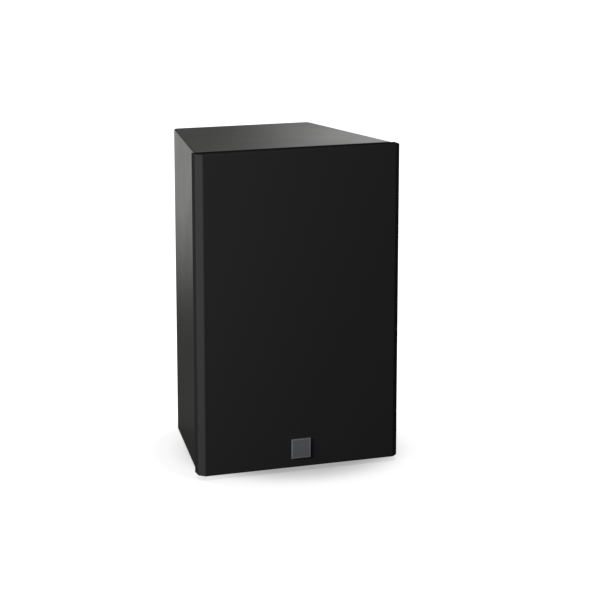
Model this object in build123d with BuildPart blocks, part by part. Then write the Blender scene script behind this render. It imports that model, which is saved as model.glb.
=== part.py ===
from build123d import *
import math
import os

# A two-way bookshelf loudspeaker with a pull-off cloth grille.
#
# Millimetres, +Z up. The grille faces -Y, and +X is to the right as seen from the front. The origin
# lies under the middle of the loudspeaker, on the surface that its feet stand on. Every "depth" is
# measured rearwards from the front plane of the cabinet, and every "up" from its underside.

# ------------------------------------------------------------------ driving sizes: cabinet
front_width = 200.0
back_width = 145.0
cabinet_depth = 160.0
cabinet_height = 314.0
wall_t = 15.0  # top, bottom and side panels
baffle_t = 18.0
back_t = 15.0
back_edge_r = 5.0  # the two upright rear edges
edge_r = 1.5  # every other outer edge
brace_t = 12.0
brace_drop = 7.5  # from the middle of the gap between the drivers down to the brace
brace_rim = 16.0  # left standing round the brace's windows
brace_window_r = 10.0
pad_t = 12.0
pad_gap = 1.0  # between a pad and the panels above, below, before and behind it
lower_pad_up = 48.0
foot_r = 8.0
foot_t = 2.0
foot_edge_r = 0.5
foot_inset = 14.0  # from the inner faces of the walls to a foot's middle
# The drivers leave some of the baffle's height, and these gaps share it in proportion.
gap_below_woofer = 18.0
gap_between_drivers = 9.0
gap_above_tweeter = 11.0

# ------------------------------------------------------------------ driving sizes: grille
grille_overhang = 2.8  # past each side of the cabinet's front
grille_lift = 2.4  # from the cabinet's underside to the grille's lower edge
grille_t = 16.3
grille_chamfer = 5.5  # 45 degrees, on the two upright front edges
cloth_t = 0.8
rail_height = 34.0  # top and bottom rails of the frame
stile_width = 18.0  # side rails of the frame
crossbar_height = 10.0
window_r = 20.0
window_bevel = 3.5
badge_size = 19.6
badge_t = 1.2
badge_bevel = 0.8
badge_up = 21.0
peg_r = 3.0
peg_reach = 9.0  # past the baffle's front
peg_root = 8.0  # into the frame
peg_collar_r = 5.0
peg_collar_t = 0.4
peg_tip_r = 1.5
peg_side_inset = 26.0  # from the sides of the cabinet's front
peg_inset = 23.0  # from the grille's upper and lower edges
socket_wall = 1.4
socket_flange_r = 6.5
socket_flange_t = 0.8
socket_floor_t = 1.2

# ------------------------------------------------------------------ driving sizes: woofer
woofer_flange_r = 73.0
woofer_flange_t = 5.0
flange_width = 11.0  # of the screwed rim outside the surround's pocket
cutout_step = 1.0  # from that pocket in to the baffle's cut-out
cutout_relief = 6.0  # chamfer round the back of the cut-out, which lets the cone breathe
basket_wall = 2.5
spoke_count = 6
spoke_width = 9.0
rib_t = 2.0
neck_spoke_width = 16.0
basket_base_t = 3.0
basket_base_play = 4.0  # round the voice coil where it passes the basket's base
surround_seat = 3.0  # depth of the ledge that carries the surround
surround_t = 0.8
surround_rim = 4.5  # width of its glued rim
roll_width = 8.0
glue_land = 2.5  # width of the surround's flap on the cone
gasket_t = 1.8
gasket_edge = 0.4
cone_depth = 20.0
cone_t = 1.2
cone_flare = 1.3  # above 1 the cone steepens towards its neck
cap_r = 19.8
cap_rise = 7.0
cap_t = 0.8
spider_seat = 27.0  # depth of the ledge that carries the spider
spider_step = 4.5  # from the surround's roll in to the spider's rim
spider_land = 7.0  # width of the spider's glued rim
neck_step = 3.0  # from the spider's rim in to the basket's neck
spider_t = 0.6
spider_collar = 3.0
spider_wave = 1.0
spider_half_waves = 5
motor_depth = 41.0  # depth of the top plate's front
coil_r = 15.6  # inside of the voice coil's former
former_t = 0.5
former_start = 21.5
winding_t = 0.7
winding_height = 12.0
magnetic_gap = 0.4  # each side of the voice coil
top_plate_r = 40.0
top_plate_t = 6.0
magnet_r = 45.0
magnet_bore_r = 25.0
magnet_t = 17.0
yoke_t = 6.0
pole_vent_r = 4.0
plate_chamfer = 0.8
woofer_screw_count = 4
woofer_screw_inset = 5.5  # from the flange's edge

# ------------------------------------------------------------------ driving sizes: tweeter
faceplate_r = 50.0
faceplate_t = 4.0
dish_rim = 12.0  # flat rim outside the dish
dish_depth = 2.8
dish_curve_r = 110.0
dome_r = 12.2
dome_rise = 4.4
dome_t = 0.5
tweeter_roll_width = 4.6  # of the roll round the dome
tweeter_rim_width = 2.2  # of the roll's glued rim
throat_play = 0.2  # between the roll and the faceplate
spacer_r = 34.0
spacer_t = 2.5
tweeter_former_t = 0.3
tweeter_winding_t = 0.3
tweeter_winding_height = 3.0
tweeter_gap = 0.3
tweeter_plate_r = 34.0
tweeter_plate_t = 3.0
tweeter_magnet_r = 36.0
tweeter_cutout_play = 2.5  # round the magnet in the baffle
tweeter_magnet_bore_r = 19.0
tweeter_magnet_t = 10.0
tweeter_yoke_r = 33.0
tweeter_yoke_t = 3.0
tweeter_vent_r = 3.0
tweeter_screw_count = 4
tweeter_screw_inset = 6.0  # from the faceplate's edge

# ------------------------------------------------------------------ driving sizes: back
port_r = 21.0
port_wall = 2.0
port_length = 95.0
port_flange_r = 34.0
port_flare_r = 8.0
port_inner_flare_r = 4.0
back_flange_t = 2.0  # the port's and the terminal cup's flanges stand this far proud
back_flange_edge = 1.0
cup_up = 73.0
cup_width = 64.0
cup_height = 44.0
cup_recess = 25.0
cup_wall = 2.5
cup_corner_r = 6.0
cup_flange_width = 84.0
cup_flange_height = 64.0
cup_flange_corner_r = 8.0
cup_screw_inset = 6.0
post_spacing = 19.0
stem_r = 3.0
stem_reach = 20.0  # past the floor of the cup
stem_tail = 5.0  # behind the floor of the cup
plug_bore_r = 2.0
plug_bore_depth = 13.5
wire_hole_r = 1.4
collar_r = 7.0
collar_t = 3.0
washer_t = 1.2
post_cap_length = 13.0
post_cap_chamfer = 0.8
flute_count = 12
flute_r = 1.0
flute_offset = 0.25  # from the cap's rim out to the middle of a flute
nut_flats = 10.0
nut_t = 3.0
insert_up = 158.0
insert_spacing = 60.0
insert_r = 3.5
insert_thread_r = 2.5
insert_length = 12.0

# ------------------------------------------------------------------ driving sizes: crossover and wiring
board_width = 100.0
board_length = 84.0
board_gap = 25.0  # from the board back to the rear panel
board_t = 1.6
standoff_h = 5.0
standoff_r = 3.5
standoff_inset = 6.0
tag_width = 4.8
tag_t = 0.8
tag_length = 8.0
tab_height = 6.0
tag_board_t = 1.6
tag_strip_reach = 2.0  # of the woofer's strip past the ledge that carries it
barrel_r = 1.5  # crimp barrel of a lug
wire_r = 1.0
wire_bend_r = 3.0
input_bend_r = 6.0
tweeter_tab_gap = 14.4  # from the woofer's motor back to the tabs of the tweeter's leads
woofer_lead_x = 6.0
tweeter_lead_x = 16.0
# Components on the board: x and the way back from its front edge, then radii and lengths.
upright_coil_place = (-31.0, 24.0)
upright_coil_r = 15.0
upright_coil_bore_r = 6.0
upright_coil_height = 17.0
lying_coil_place = (33.0, 20.0)
lying_coil_r = 12.0
lying_coil_bore_r = 5.0
lying_coil_length = 14.0
coil_round = 1.5
capacitor_sizes = ((-32.0, 52.0, 6.5, 26.0), (-32.0, 68.0, 5.5, 22.0), (34.0, 68.0, 6.0, 24.0))
resistor_places = ((35.0, 42.0), (35.0, 54.0))
resistor_length = 24.0
resistor_side = 8.0

# ------------------------------------------------------------------ screws
# Head radius, head height and shank radius of each kind.
driver_screw = (3.8, 2.2, 2.0)
cup_screw = (3.0, 1.2, 1.5)
board_screw = (3.0, 2.0, 1.4)
driver_screw_length = 12.0
cup_screw_length = 10.0
board_screw_length = 14.0

# ------------------------------------------------------------------ clearances
slip = 0.1  # round a pin, sleeve or glued joint in a bore of its own body
thread_play = 0.08  # a post's cap and washer on their stem
peg_play = 0.1
flange_play = 0.4  # round a driver's flange in its recess
basket_play = 0.5  # round a basket in its cut-out
clamp_gap = 0.3  # between a post's collar and its washer, closed
cap_gap = 0.1  # between the washer and the cap that turns against it

# ------------------------------------------------------------------ what follows from them
taper = math.atan((front_width - back_width) / 2 / cabinet_depth)
z_bottom = foot_t
z_top = z_bottom + cabinet_height
inner_bottom = z_bottom + wall_t
inner_top = z_top - wall_t
grille_gap = socket_flange_t + peg_collar_t
y_overall = badge_t + grille_t + grille_gap + cabinet_depth + back_flange_t
y_front = -y_overall / 2 + badge_t + grille_t + grille_gap
back_inside = cabinet_depth - back_t
height_left = inner_top - inner_bottom - 2 * (woofer_flange_r + faceplate_r)
gap_share = height_left / (gap_below_woofer + gap_between_drivers + gap_above_tweeter)
woofer_z = inner_bottom + gap_share * gap_below_woofer + woofer_flange_r
tweeter_z = inner_top - gap_share * gap_above_tweeter - faceplate_r
drivers_part_z = (woofer_z + woofer_flange_r + tweeter_z - faceplate_r) / 2
port_z = tweeter_z  # the port is level with the tweeter
cup_z = z_bottom + cup_up
peg_x = front_width / 2 - peg_side_inset
rim_pocket_r = woofer_flange_r - flange_width
woofer_cutout_r = rim_pocket_r - cutout_step
woofer_screw_circle = woofer_flange_r - woofer_screw_inset
roll_outer_r = rim_pocket_r - surround_rim
roll_inner_r = roll_outer_r - roll_width
spider_r = roll_inner_r - spider_step
spider_ledge_r = spider_r - spider_land
neck_r = spider_r - neck_step
tweeter_cutout_r = tweeter_magnet_r + tweeter_cutout_play
tweeter_screw_circle = faceplate_r - tweeter_screw_inset
dish_r = faceplate_r - dish_rim
tweeter_roll_r = dome_r + tweeter_roll_width
tweeter_rim_r = tweeter_roll_r + tweeter_rim_width
throat_r = tweeter_roll_r + throat_play
board_front = back_inside - board_gap - board_length


# ------------------------------------------------------------------ planes and forms used more than once
def half_width(depth, inset=0.0):
    """Half the cabinet's width at a depth, measured to a line that lies inset behind the side's face."""
    return front_width / 2 - depth * math.tan(taper) - inset / math.cos(taper)


def face_plane(depth, z=0.0):
    """The upright plane at a depth, seen from the front: local x is +X and local y is +Z."""
    return Plane(origin=(0, y_front + depth, z), x_dir=(1, 0, 0), z_dir=(0, -1, 0))


def section_plane(z, angle=0.0):
    """The half plane through a driver's axis: local x is the radius and local y the depth."""
    turn = math.radians(angle)
    across = (math.cos(turn), 0, math.sin(turn))
    normal = (-math.sin(turn), 0, math.cos(turn))
    return Plane(origin=(0, y_front, z), x_dir=across, z_dir=normal)


def driver_axis(z):
    """The axis of a driver or of the port, from front to back."""
    return Axis((0, y_front, z), (0, 1, 0))


def plan_block(depth_1, depth_2, inset, z_low, z_high):
    """A block with the cabinet's tapering plan between two depths and two heights."""
    with BuildPart() as block:
        with BuildSketch(Plane.XY.offset(z_low)):
            with BuildLine():
                Polyline(
                    (-half_width(depth_1, inset), y_front + depth_1),
                    (half_width(depth_1, inset), y_front + depth_1),
                    (half_width(depth_2, inset), y_front + depth_2),
                    (-half_width(depth_2, inset), y_front + depth_2),
                    close=True,
                )
            make_face()
        extrude(amount=z_high - z_low)
    return block.part


def ring(z, inner_r, outer_r, depth_1, depth_2, edge=0.0):
    """A flat ring round the axis at height z between two depths, its outer edges chamfered by edge."""
    with BuildPart() as piece:
        with BuildSketch(face_plane(depth_1, z)):
            Circle(outer_r)
            Circle(inner_r, mode=Mode.SUBTRACT)
        extrude(amount=depth_1 - depth_2)
        if edge:
            rims = piece.edges().filter_by(GeomType.CIRCLE).sort_by(SortBy.RADIUS)[-2:]
            chamfer(rims, edge)
    return piece


def screw_group(depth, points, size, length, towards=1):
    """Socket-head screws whose heads start at a depth, driven rearwards, or forwards with towards=-1."""
    head_r, head_t, shank_r = size
    with BuildPart() as group:
        with BuildSketch(face_plane(depth)):
            with Locations(*points):
                Circle(head_r)
        extrude(amount=-towards * head_t)
        with BuildSketch(face_plane(depth + towards * head_t)):
            with Locations(*points):
                Circle(shank_r)
        extrude(amount=-towards * length)
        with BuildSketch(face_plane(depth)):
            with Locations(*points):
                RegularPolygon(shank_r, 6)
        extrude(amount=-towards * head_t / 2, mode=Mode.SUBTRACT)
    return group


def circle_points(count, radius, z, start):
    """Points spaced evenly on a circle round the axis at height z, as (x, z) pairs."""
    points = []
    for index in range(count):
        turn = math.radians(start + 360 * index / count)
        points.append((radius * math.cos(turn), z + radius * math.sin(turn)))
    return points


def wire(points, bend_r):
    """An insulated lead: straight runs joined by tangent arcs."""
    with BuildPart() as lead:
        with BuildLine() as route:
            FilletPolyline(*points, radius=bend_r)
        with BuildSketch(Plane(origin=route.line @ 0, z_dir=route.line % 0)):
            Circle(wire_r)
        sweep()
    return lead.part


woofer_screw_points = circle_points(woofer_screw_count, woofer_screw_circle, woofer_z, 45)
tweeter_screw_points = circle_points(tweeter_screw_count, tweeter_screw_circle, tweeter_z, 45)
grille_low = z_bottom + grille_lift
peg_points = [(side * peg_x, z) for side in (-1, 1) for z in (grille_low + peg_inset, z_top - peg_inset)]
cup_screw_x = cup_flange_width / 2 - cup_screw_inset
cup_screw_z = cup_flange_height / 2 - cup_screw_inset
cup_screw_points = [(sx * cup_screw_x, cup_z + sz * cup_screw_z) for sx in (-1, 1) for sz in (-1, 1)]
insert_points = [(side * insert_spacing / 2, z_bottom + insert_up) for side in (-1, 1)]
board_x = board_width / 2 - standoff_inset
board_ends = (board_front + standoff_inset, board_front + board_length - standoff_inset)
board_points = [(side * board_x, y_front + depth) for side in (-1, 1) for depth in board_ends]

# ------------------------------------------------------------------ cabinet: mitred wrap of four panels
# The wrap is one tapering tube with rounded edges, cut apart along the four mitres.
with BuildPart() as wrap:
    add(plan_block(0, cabinet_depth, 0, z_bottom, z_top))
    fillet(wrap.edges().filter_by(Axis.Z).sort_by(Axis.Y)[-2:], back_edge_r)
    fillet(
        wrap.faces().filter_by(Axis.Z).edges() + wrap.edges().filter_by(Axis.Z).sort_by(Axis.Y)[:2],
        edge_r,
    )
    add(plan_block(-wall_t, cabinet_depth + wall_t, wall_t, inner_bottom, inner_top), mode=Mode.SUBTRACT)


def mitre(side, rise):
    """The mitre plane along one long edge, facing the top panel (rise 1) or the bottom one (rise -1)."""
    corner = (side * front_width / 2, y_front, z_top if rise > 0 else z_bottom)
    return Plane(origin=corner, z_dir=(-side * math.cos(taper), -math.sin(taper), rise))


with BuildPart() as cabinet_top:
    add(wrap.part)
    split(bisect_by=mitre(-1, 1), keep=Keep.TOP)
    split(bisect_by=mitre(1, 1), keep=Keep.TOP)

with BuildPart() as cabinet_left_side:
    add(wrap.part)
    split(bisect_by=Plane.YZ, keep=Keep.BOTTOM)
    split(bisect_by=mitre(-1, 1), keep=Keep.BOTTOM)
    split(bisect_by=mitre(-1, -1), keep=Keep.BOTTOM)

with BuildPart() as cabinet_right_side:
    add(wrap.part)
    split(bisect_by=Plane.YZ, keep=Keep.TOP)
    split(bisect_by=mitre(1, 1), keep=Keep.BOTTOM)
    split(bisect_by=mitre(1, -1), keep=Keep.BOTTOM)

with BuildPart() as cabinet_bottom:
    add(wrap.part)
    split(bisect_by=mitre(-1, -1), keep=Keep.TOP)
    split(bisect_by=mitre(1, -1), keep=Keep.TOP)
    with BuildSketch(Plane.XY.offset(inner_bottom)):
        with Locations(*board_points):
            Circle(board_screw[2] + slip)
    extrude(amount=-(board_screw_length - board_t - standoff_h + slip), mode=Mode.SUBTRACT)

# ------------------------------------------------------------------ cabinet: baffle
with BuildPart() as front_baffle:
    add(plan_block(0, baffle_t, wall_t, inner_bottom, inner_top))
    with BuildSketch(face_plane(0)):
        with Locations((0, woofer_z)):
            Circle(woofer_flange_r + flange_play)
    extrude(amount=-woofer_flange_t, mode=Mode.SUBTRACT)
    with BuildSketch(face_plane(0)):
        with Locations((0, tweeter_z)):
            Circle(faceplate_r + flange_play)
    extrude(amount=-faceplate_t, mode=Mode.SUBTRACT)
    with BuildSketch(face_plane(0)):
        with Locations((0, woofer_z)):
            Circle(woofer_cutout_r)
        with Locations((0, tweeter_z)):
            Circle(tweeter_cutout_r)
    extrude(amount=-baffle_t, mode=Mode.SUBTRACT)
    back_rims = front_baffle.faces().sort_by(Axis.Y)[-1].inner_wires().edges()
    chamfer(back_rims.sort_by(SortBy.RADIUS)[-1], cutout_relief)
    with BuildSketch(face_plane(0)):
        with Locations(*woofer_screw_points, *tweeter_screw_points):
            Circle(driver_screw[2] + slip)
    extrude(amount=-(driver_screw[1] + driver_screw_length + slip), mode=Mode.SUBTRACT)
    with BuildSketch(face_plane(0)):
        with Locations(*peg_points):
            Circle(peg_r + peg_play + socket_wall + slip)
    extrude(amount=-(peg_reach + slip + socket_floor_t), mode=Mode.SUBTRACT)

with BuildPart() as grille_sockets:
    with BuildSketch(face_plane(-socket_flange_t)):
        with Locations(*peg_points):
            Circle(socket_flange_r)
    extrude(amount=-socket_flange_t)
    with BuildSketch(face_plane(0)):
        with Locations(*peg_points):
            Circle(peg_r + peg_play + socket_wall)
    extrude(amount=-(peg_reach + slip + socket_floor_t))
    with BuildSketch(face_plane(-socket_flange_t)):
        with Locations(*peg_points):
            Circle(peg_r + peg_play)
    extrude(amount=-(socket_flange_t + peg_reach + slip), mode=Mode.SUBTRACT)

# ------------------------------------------------------------------ cabinet: back, brace, pads and feet
port_boss_r = port_r + port_flare_r + port_wall

with BuildPart() as cabinet_back:
    add(plan_block(back_inside, cabinet_depth, wall_t, inner_bottom, inner_top))
    with BuildSketch(face_plane(cabinet_depth)):
        with Locations((0, port_z)):
            Circle(port_boss_r + slip)
        with Locations((0, cup_z)):
            RectangleRounded(
                cup_width + 2 * (cup_wall + slip), cup_height + 2 * (cup_wall + slip), cup_corner_r + cup_wall
            )
    extrude(amount=back_t, mode=Mode.SUBTRACT)
    with BuildSketch(face_plane(cabinet_depth)):
        with Locations(*insert_points):
            Circle(insert_r + slip)
    extrude(amount=insert_length, mode=Mode.SUBTRACT)
    with BuildSketch(face_plane(cabinet_depth)):
        with Locations(*cup_screw_points):
            Circle(cup_screw[2] + slip)
    extrude(amount=cup_screw_length - back_flange_t + cup_screw[1] + slip, mode=Mode.SUBTRACT)

with BuildPart() as window_brace:
    brace_z = drivers_part_z - brace_drop
    add(plan_block(baffle_t, back_inside, wall_t, brace_z, brace_z + brace_t))
    window_front = y_front + baffle_t + brace_rim
    window_back = y_front + back_inside - brace_rim
    with BuildSketch(Plane.XY.offset(brace_z)):
        for side in (-1, 1):
            with BuildLine():
                FilletPolyline(
                    (side * brace_rim / 2, window_front),
                    (side * half_width(baffle_t + brace_rim, wall_t + brace_rim), window_front),
                    (side * half_width(back_inside - brace_rim, wall_t + brace_rim), window_back),
                    (side * brace_rim / 2, window_back),
                    radius=brace_window_r,
                    close=True,
                )
            make_face()
    extrude(amount=brace_t, mode=Mode.SUBTRACT)


def damping_pad(side):
    """The wadding on one side wall, one piece below the brace and one above it."""
    near = baffle_t + pad_gap
    far = back_inside - pad_gap
    heights = (
        (z_bottom + lower_pad_up, brace_z - pad_gap),
        (brace_z + brace_t + pad_gap, inner_top - pad_gap),
    )
    with BuildPart() as pad:
        for z_low, z_high in heights:
            with BuildSketch(Plane.XY.offset(z_low)):
                with BuildLine():
                    Polyline(
                        (side * half_width(near, wall_t), y_front + near),
                        (side * half_width(far, wall_t), y_front + far),
                        (side * half_width(far, wall_t + pad_t), y_front + far),
                        (side * half_width(near, wall_t + pad_t), y_front + near),
                        close=True,
                    )
                make_face()
            extrude(amount=z_high - z_low)
    return pad


left_damping_pad = damping_pad(-1)
right_damping_pad = damping_pad(1)

with BuildPart() as rubber_feet:
    foot_points = []
    for depth in (wall_t + foot_inset, cabinet_depth - wall_t - foot_inset):
        reach = half_width(depth, wall_t + foot_inset)
        foot_points += [(-reach, y_front + depth), (reach, y_front + depth)]
    with BuildSketch(Plane.XY):
        with Locations(*foot_points):
            Circle(foot_r)
    extrude(amount=foot_t)
    fillet(rubber_feet.faces().sort_by(Axis.Z)[: len(foot_points)].edges(), foot_edge_r)

with BuildPart() as wall_mount_inserts:
    with BuildSketch(face_plane(cabinet_depth)):
        with Locations(*insert_points):
            Circle(insert_r)
            Circle(insert_thread_r, mode=Mode.SUBTRACT)
    extrude(amount=insert_length)


# ------------------------------------------------------------------ grille
def grille_block(inset):
    """The grille's outer form, or that form drawn in evenly on every face but its flat back."""
    with BuildPart() as block:
        with BuildSketch(face_plane(-grille_gap, (grille_low + z_top) / 2)):
            Rectangle(front_width + 2 * (grille_overhang - inset), z_top - grille_low - 2 * inset)
        extrude(amount=grille_t - inset)
        chamfer(
            block.edges().filter_by(Axis.Z).sort_by(Axis.Y)[:2],
            grille_chamfer - inset * (2 - math.sqrt(2)),
        )
    return block.part


frame_windows = (
    (grille_low + rail_height, drivers_part_z - crossbar_height / 2),
    (drivers_part_z + crossbar_height / 2, z_top - rail_height),
)

with BuildPart() as grille_frame:
    add(grille_block(cloth_t))
    for z_low, z_high in frame_windows:
        with BuildSketch(face_plane(-grille_gap, (z_low + z_high) / 2)):
            RectangleRounded(
                front_width + 2 * (grille_overhang - cloth_t - stile_width), z_high - z_low, window_r
            )
        extrude(amount=grille_t, mode=Mode.SUBTRACT)
    chamfer(grille_frame.faces().sort_by(Axis.Y)[0].inner_wires().edges(), window_bevel)
    with BuildSketch(face_plane(-grille_gap)):
        with Locations(*peg_points):
            Circle(peg_r + slip)
    extrude(amount=peg_root + slip, mode=Mode.SUBTRACT)

with BuildPart() as grille_cloth:
    add(grille_block(0))
    add(grille_block(cloth_t), mode=Mode.SUBTRACT)

with BuildPart() as badge:
    with BuildSketch(face_plane(-grille_gap - grille_t, z_bottom + badge_up)):
        Rectangle(badge_size, badge_size)
    extrude(amount=badge_t)
    chamfer(badge.faces().sort_by(Axis.Y)[0].edges(), badge_bevel)

with BuildPart() as grille_pegs:
    with BuildSketch(face_plane(peg_reach)):
        with Locations(*peg_points):
            Circle(peg_r)
    extrude(amount=peg_reach + grille_gap + peg_root)
    fillet(grille_pegs.faces().sort_by(Axis.Y)[-len(peg_points) :].edges(), peg_tip_r)
    with BuildSketch(face_plane(-socket_flange_t)):
        with Locations(*peg_points):
            Circle(peg_collar_r)
    extrude(amount=peg_collar_t)

# ------------------------------------------------------------------ woofer: basket
basket_r = woofer_cutout_r - basket_play
ledge_back = spider_seat + basket_wall
ledge_r = spider_r + 2 * basket_wall
base_front = motor_depth - basket_base_t
base_hole_r = coil_r + former_t + winding_t + basket_base_play
drop_start = woofer_flange_t + basket_wall
spoke_angles = [index * 360 / spoke_count for index in range(spoke_count)]

with BuildPart() as woofer_basket:
    # One turned section: flange, seat of the surround, sloping wall, seat of the spider, neck and base.
    with BuildSketch(section_plane(woofer_z)):
        with BuildLine():
            Polyline(
                (roll_outer_r, surround_seat),
                (rim_pocket_r, surround_seat),
                (rim_pocket_r, 0),
                (woofer_flange_r, 0),
                (woofer_flange_r, woofer_flange_t),
                (basket_r, woofer_flange_t),
                (basket_r, drop_start),
                (ledge_r, ledge_back),
                (neck_r, ledge_back),
                (neck_r, motor_depth),
                (base_hole_r, motor_depth),
                (base_hole_r, base_front),
                (neck_r - basket_wall, base_front),
                (neck_r - basket_wall, ledge_back),
                (spider_ledge_r, ledge_back),
                (spider_ledge_r, spider_seat),
                (ledge_r - basket_wall, spider_seat),
                (roll_outer_r, drop_start),
                close=True,
            )
        make_face()
    revolve(axis=driver_axis(woofer_z))
    # The sloping wall and the neck are open between the spokes.
    openings = (
        (drop_start + basket_wall, spider_seat - basket_wall / 2, spoke_width),
        (ledge_back + basket_wall / 2, base_front - basket_wall / 2, neck_spoke_width),
    )
    for front, back, width in openings:
        with BuildSketch(face_plane(front, woofer_z)):
            Circle(woofer_flange_r)
            for angle in spoke_angles:
                Rectangle(2 * woofer_flange_r, width, rotation=angle, mode=Mode.SUBTRACT)
        extrude(amount=front - back, mode=Mode.SUBTRACT)
    # A rib stiffens each spoke from the flange down to the base.
    for angle in spoke_angles:
        with BuildSketch(section_plane(woofer_z, angle)):
            with BuildLine():
                Polyline(
                    (basket_r - basket_wall / 2, woofer_flange_t),
                    (basket_r, woofer_flange_t),
                    (basket_r, drop_start + 2 * basket_wall),
                    (ledge_r + basket_wall, ledge_back + basket_wall),
                    (neck_r + 2 * basket_wall, motor_depth),
                    (neck_r - basket_wall / 2, motor_depth),
                    (neck_r - basket_wall / 2, ledge_back - basket_wall / 2),
                    (ledge_r - basket_wall / 2, ledge_back - basket_wall / 2),
                    close=True,
                )
            make_face()
        extrude(amount=rib_t / 2, both=True)
    with BuildSketch(face_plane(0)):
        with Locations(*woofer_screw_points):
            Circle(driver_screw[2] + slip)
    extrude(amount=-woofer_flange_t, mode=Mode.SUBTRACT)
    with BuildSketch(face_plane(0)):
        with Locations(*woofer_screw_points):
            Circle(driver_screw[0] + slip)
    extrude(amount=-driver_screw[1], mode=Mode.SUBTRACT)

woofer_screws = screw_group(0, woofer_screw_points, driver_screw, driver_screw_length)
rim_front = surround_seat - surround_t
woofer_gasket = ring(
    woofer_z, roll_outer_r + surround_t, rim_pocket_r - slip, rim_front - gasket_t, rim_front, gasket_edge
)

# ------------------------------------------------------------------ woofer: cone and suspension
former_r = coil_r + former_t
cone_edge_r = roll_inner_r - glue_land
cone_neck_r = former_r + slip


def cone_front(radius):
    """Depth of the cone's front face at a radius between its neck and its glued edge."""
    share = (cone_edge_r - radius) / (cone_edge_r - cone_neck_r)
    return surround_seat + cone_depth * max(share, 0.0) ** cone_flare


with BuildPart() as woofer_surround:
    roll_middle = (roll_outer_r + roll_inner_r) / 2
    roll_radius = (roll_outer_r - roll_inner_r) / 2
    with BuildSketch(section_plane(woofer_z)):
        with Locations((roll_middle, surround_seat)):
            Circle(roll_radius + surround_t / 2)
            Circle(roll_radius - surround_t / 2, mode=Mode.SUBTRACT)
            Rectangle(
                3 * roll_radius, 2 * roll_radius, align=(Align.CENTER, Align.MIN), mode=Mode.SUBTRACT
            )
        with Locations((roll_outer_r, surround_seat)):
            Rectangle(rim_pocket_r - slip - roll_outer_r, surround_t, align=(Align.MIN, Align.MAX))
        with Locations((roll_inner_r, surround_seat)):
            Rectangle(glue_land, surround_t, align=(Align.MAX, Align.MAX))
    revolve(axis=driver_axis(woofer_z))

with BuildPart() as woofer_cone:
    steps = 5
    radii = [cone_edge_r + (cone_neck_r - cone_edge_r) * step / steps for step in range(steps + 1)]
    with BuildSketch(section_plane(woofer_z)):
        with BuildLine():
            Polyline(
                (cone_edge_r, surround_seat + cone_t),
                (roll_inner_r, surround_seat + cone_t),
                (roll_inner_r, surround_seat),
                (cone_edge_r, surround_seat),
            )
            Spline(*[(radius, cone_front(radius)) for radius in radii])
            Line((cone_neck_r, cone_front(cone_neck_r)), (cone_neck_r, cone_front(cone_neck_r) + cone_t))
            Spline(*[(radius, cone_front(radius) + cone_t) for radius in radii])
        make_face()
    revolve(axis=driver_axis(woofer_z))


def dome(z, radius, base, rise, thickness):
    """A shallow spherical shell on the axis at height z that bulges forwards from a base depth."""
    sphere_r = (radius**2 + rise**2) / (2 * rise)
    with BuildPart() as piece:
        with BuildSketch(section_plane(z)):
            with Locations((0, base - rise + sphere_r)):
                Circle(sphere_r)
                Circle(sphere_r - thickness, mode=Mode.SUBTRACT)
            with Locations((0, base)):
                Rectangle(radius, rise, align=(Align.MIN, Align.MAX), mode=Mode.INTERSECT)
        revolve(axis=driver_axis(z))
    return piece


woofer_dust_cap = dome(woofer_z, cap_r, cone_front(cap_r) - slip, cap_rise, cap_t)

winding_middle = motor_depth + top_plate_t / 2
winding_back = winding_middle + winding_height / 2
winding_front = winding_middle - winding_height / 2
woofer_former = ring(woofer_z, coil_r, former_r, former_start, winding_back)
woofer_coil = ring(woofer_z, former_r, former_r + winding_t, winding_front, winding_back)

with BuildPart() as woofer_spider:
    # A disc of even thickness whose corrugations are arcs, alternately forwards and rearwards.
    wave_start = former_r + spider_collar
    wave_end = spider_ledge_r - spider_t
    wave_width = (wave_end - wave_start) / spider_half_waves
    front_face = spider_seat - spider_t
    with BuildSketch(section_plane(woofer_z)):
        with BuildLine():
            for face in (front_face, spider_seat):
                Line((former_r + slip, face), (wave_start, face))
                for index in range(spider_half_waves):
                    inner = wave_start + index * wave_width
                    crest = face + spider_wave * (-1) ** index
                    ThreePointArc((inner, face), (inner + wave_width / 2, crest), (inner + wave_width, face))
                Line((wave_end, face), (spider_r, face))
            Line((former_r + slip, front_face), (former_r + slip, spider_seat))
            Line((spider_r, front_face), (spider_r, spider_seat))
        make_face()
    revolve(axis=driver_axis(woofer_z))

# ------------------------------------------------------------------ woofer: motor
plate_bore_r = former_r + winding_t + magnetic_gap
top_plate_back = motor_depth + top_plate_t
magnet_back = top_plate_back + magnet_t
woofer_top_plate = ring(woofer_z, plate_bore_r, top_plate_r, motor_depth, top_plate_back, plate_chamfer)
woofer_magnet = ring(woofer_z, magnet_bore_r, magnet_r, top_plate_back, magnet_back, plate_chamfer)


def yoke(z, plate_r, pole_r, vent_r, pole_front, plate_front, plate_back):
    """A motor's back plate and its vented pole piece, turned from one blank."""
    with BuildPart() as piece:
        with BuildSketch(section_plane(z)):
            with BuildLine():
                Polyline(
                    (vent_r, pole_front),
                    (pole_r - plate_chamfer, pole_front),
                    (pole_r, pole_front + plate_chamfer),
                    (pole_r, plate_front),
                    (plate_r, plate_front),
                    (plate_r, plate_back - plate_chamfer),
                    (plate_r - plate_chamfer, plate_back),
                    (vent_r + plate_chamfer, plate_back),
                    (vent_r, plate_back - plate_chamfer),
                    close=True,
                )
            make_face()
        revolve(axis=driver_axis(z))
    return piece


woofer_yoke = yoke(
    woofer_z, top_plate_r, coil_r - magnetic_gap, pole_vent_r, motor_depth, magnet_back, magnet_back + yoke_t
)


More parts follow.
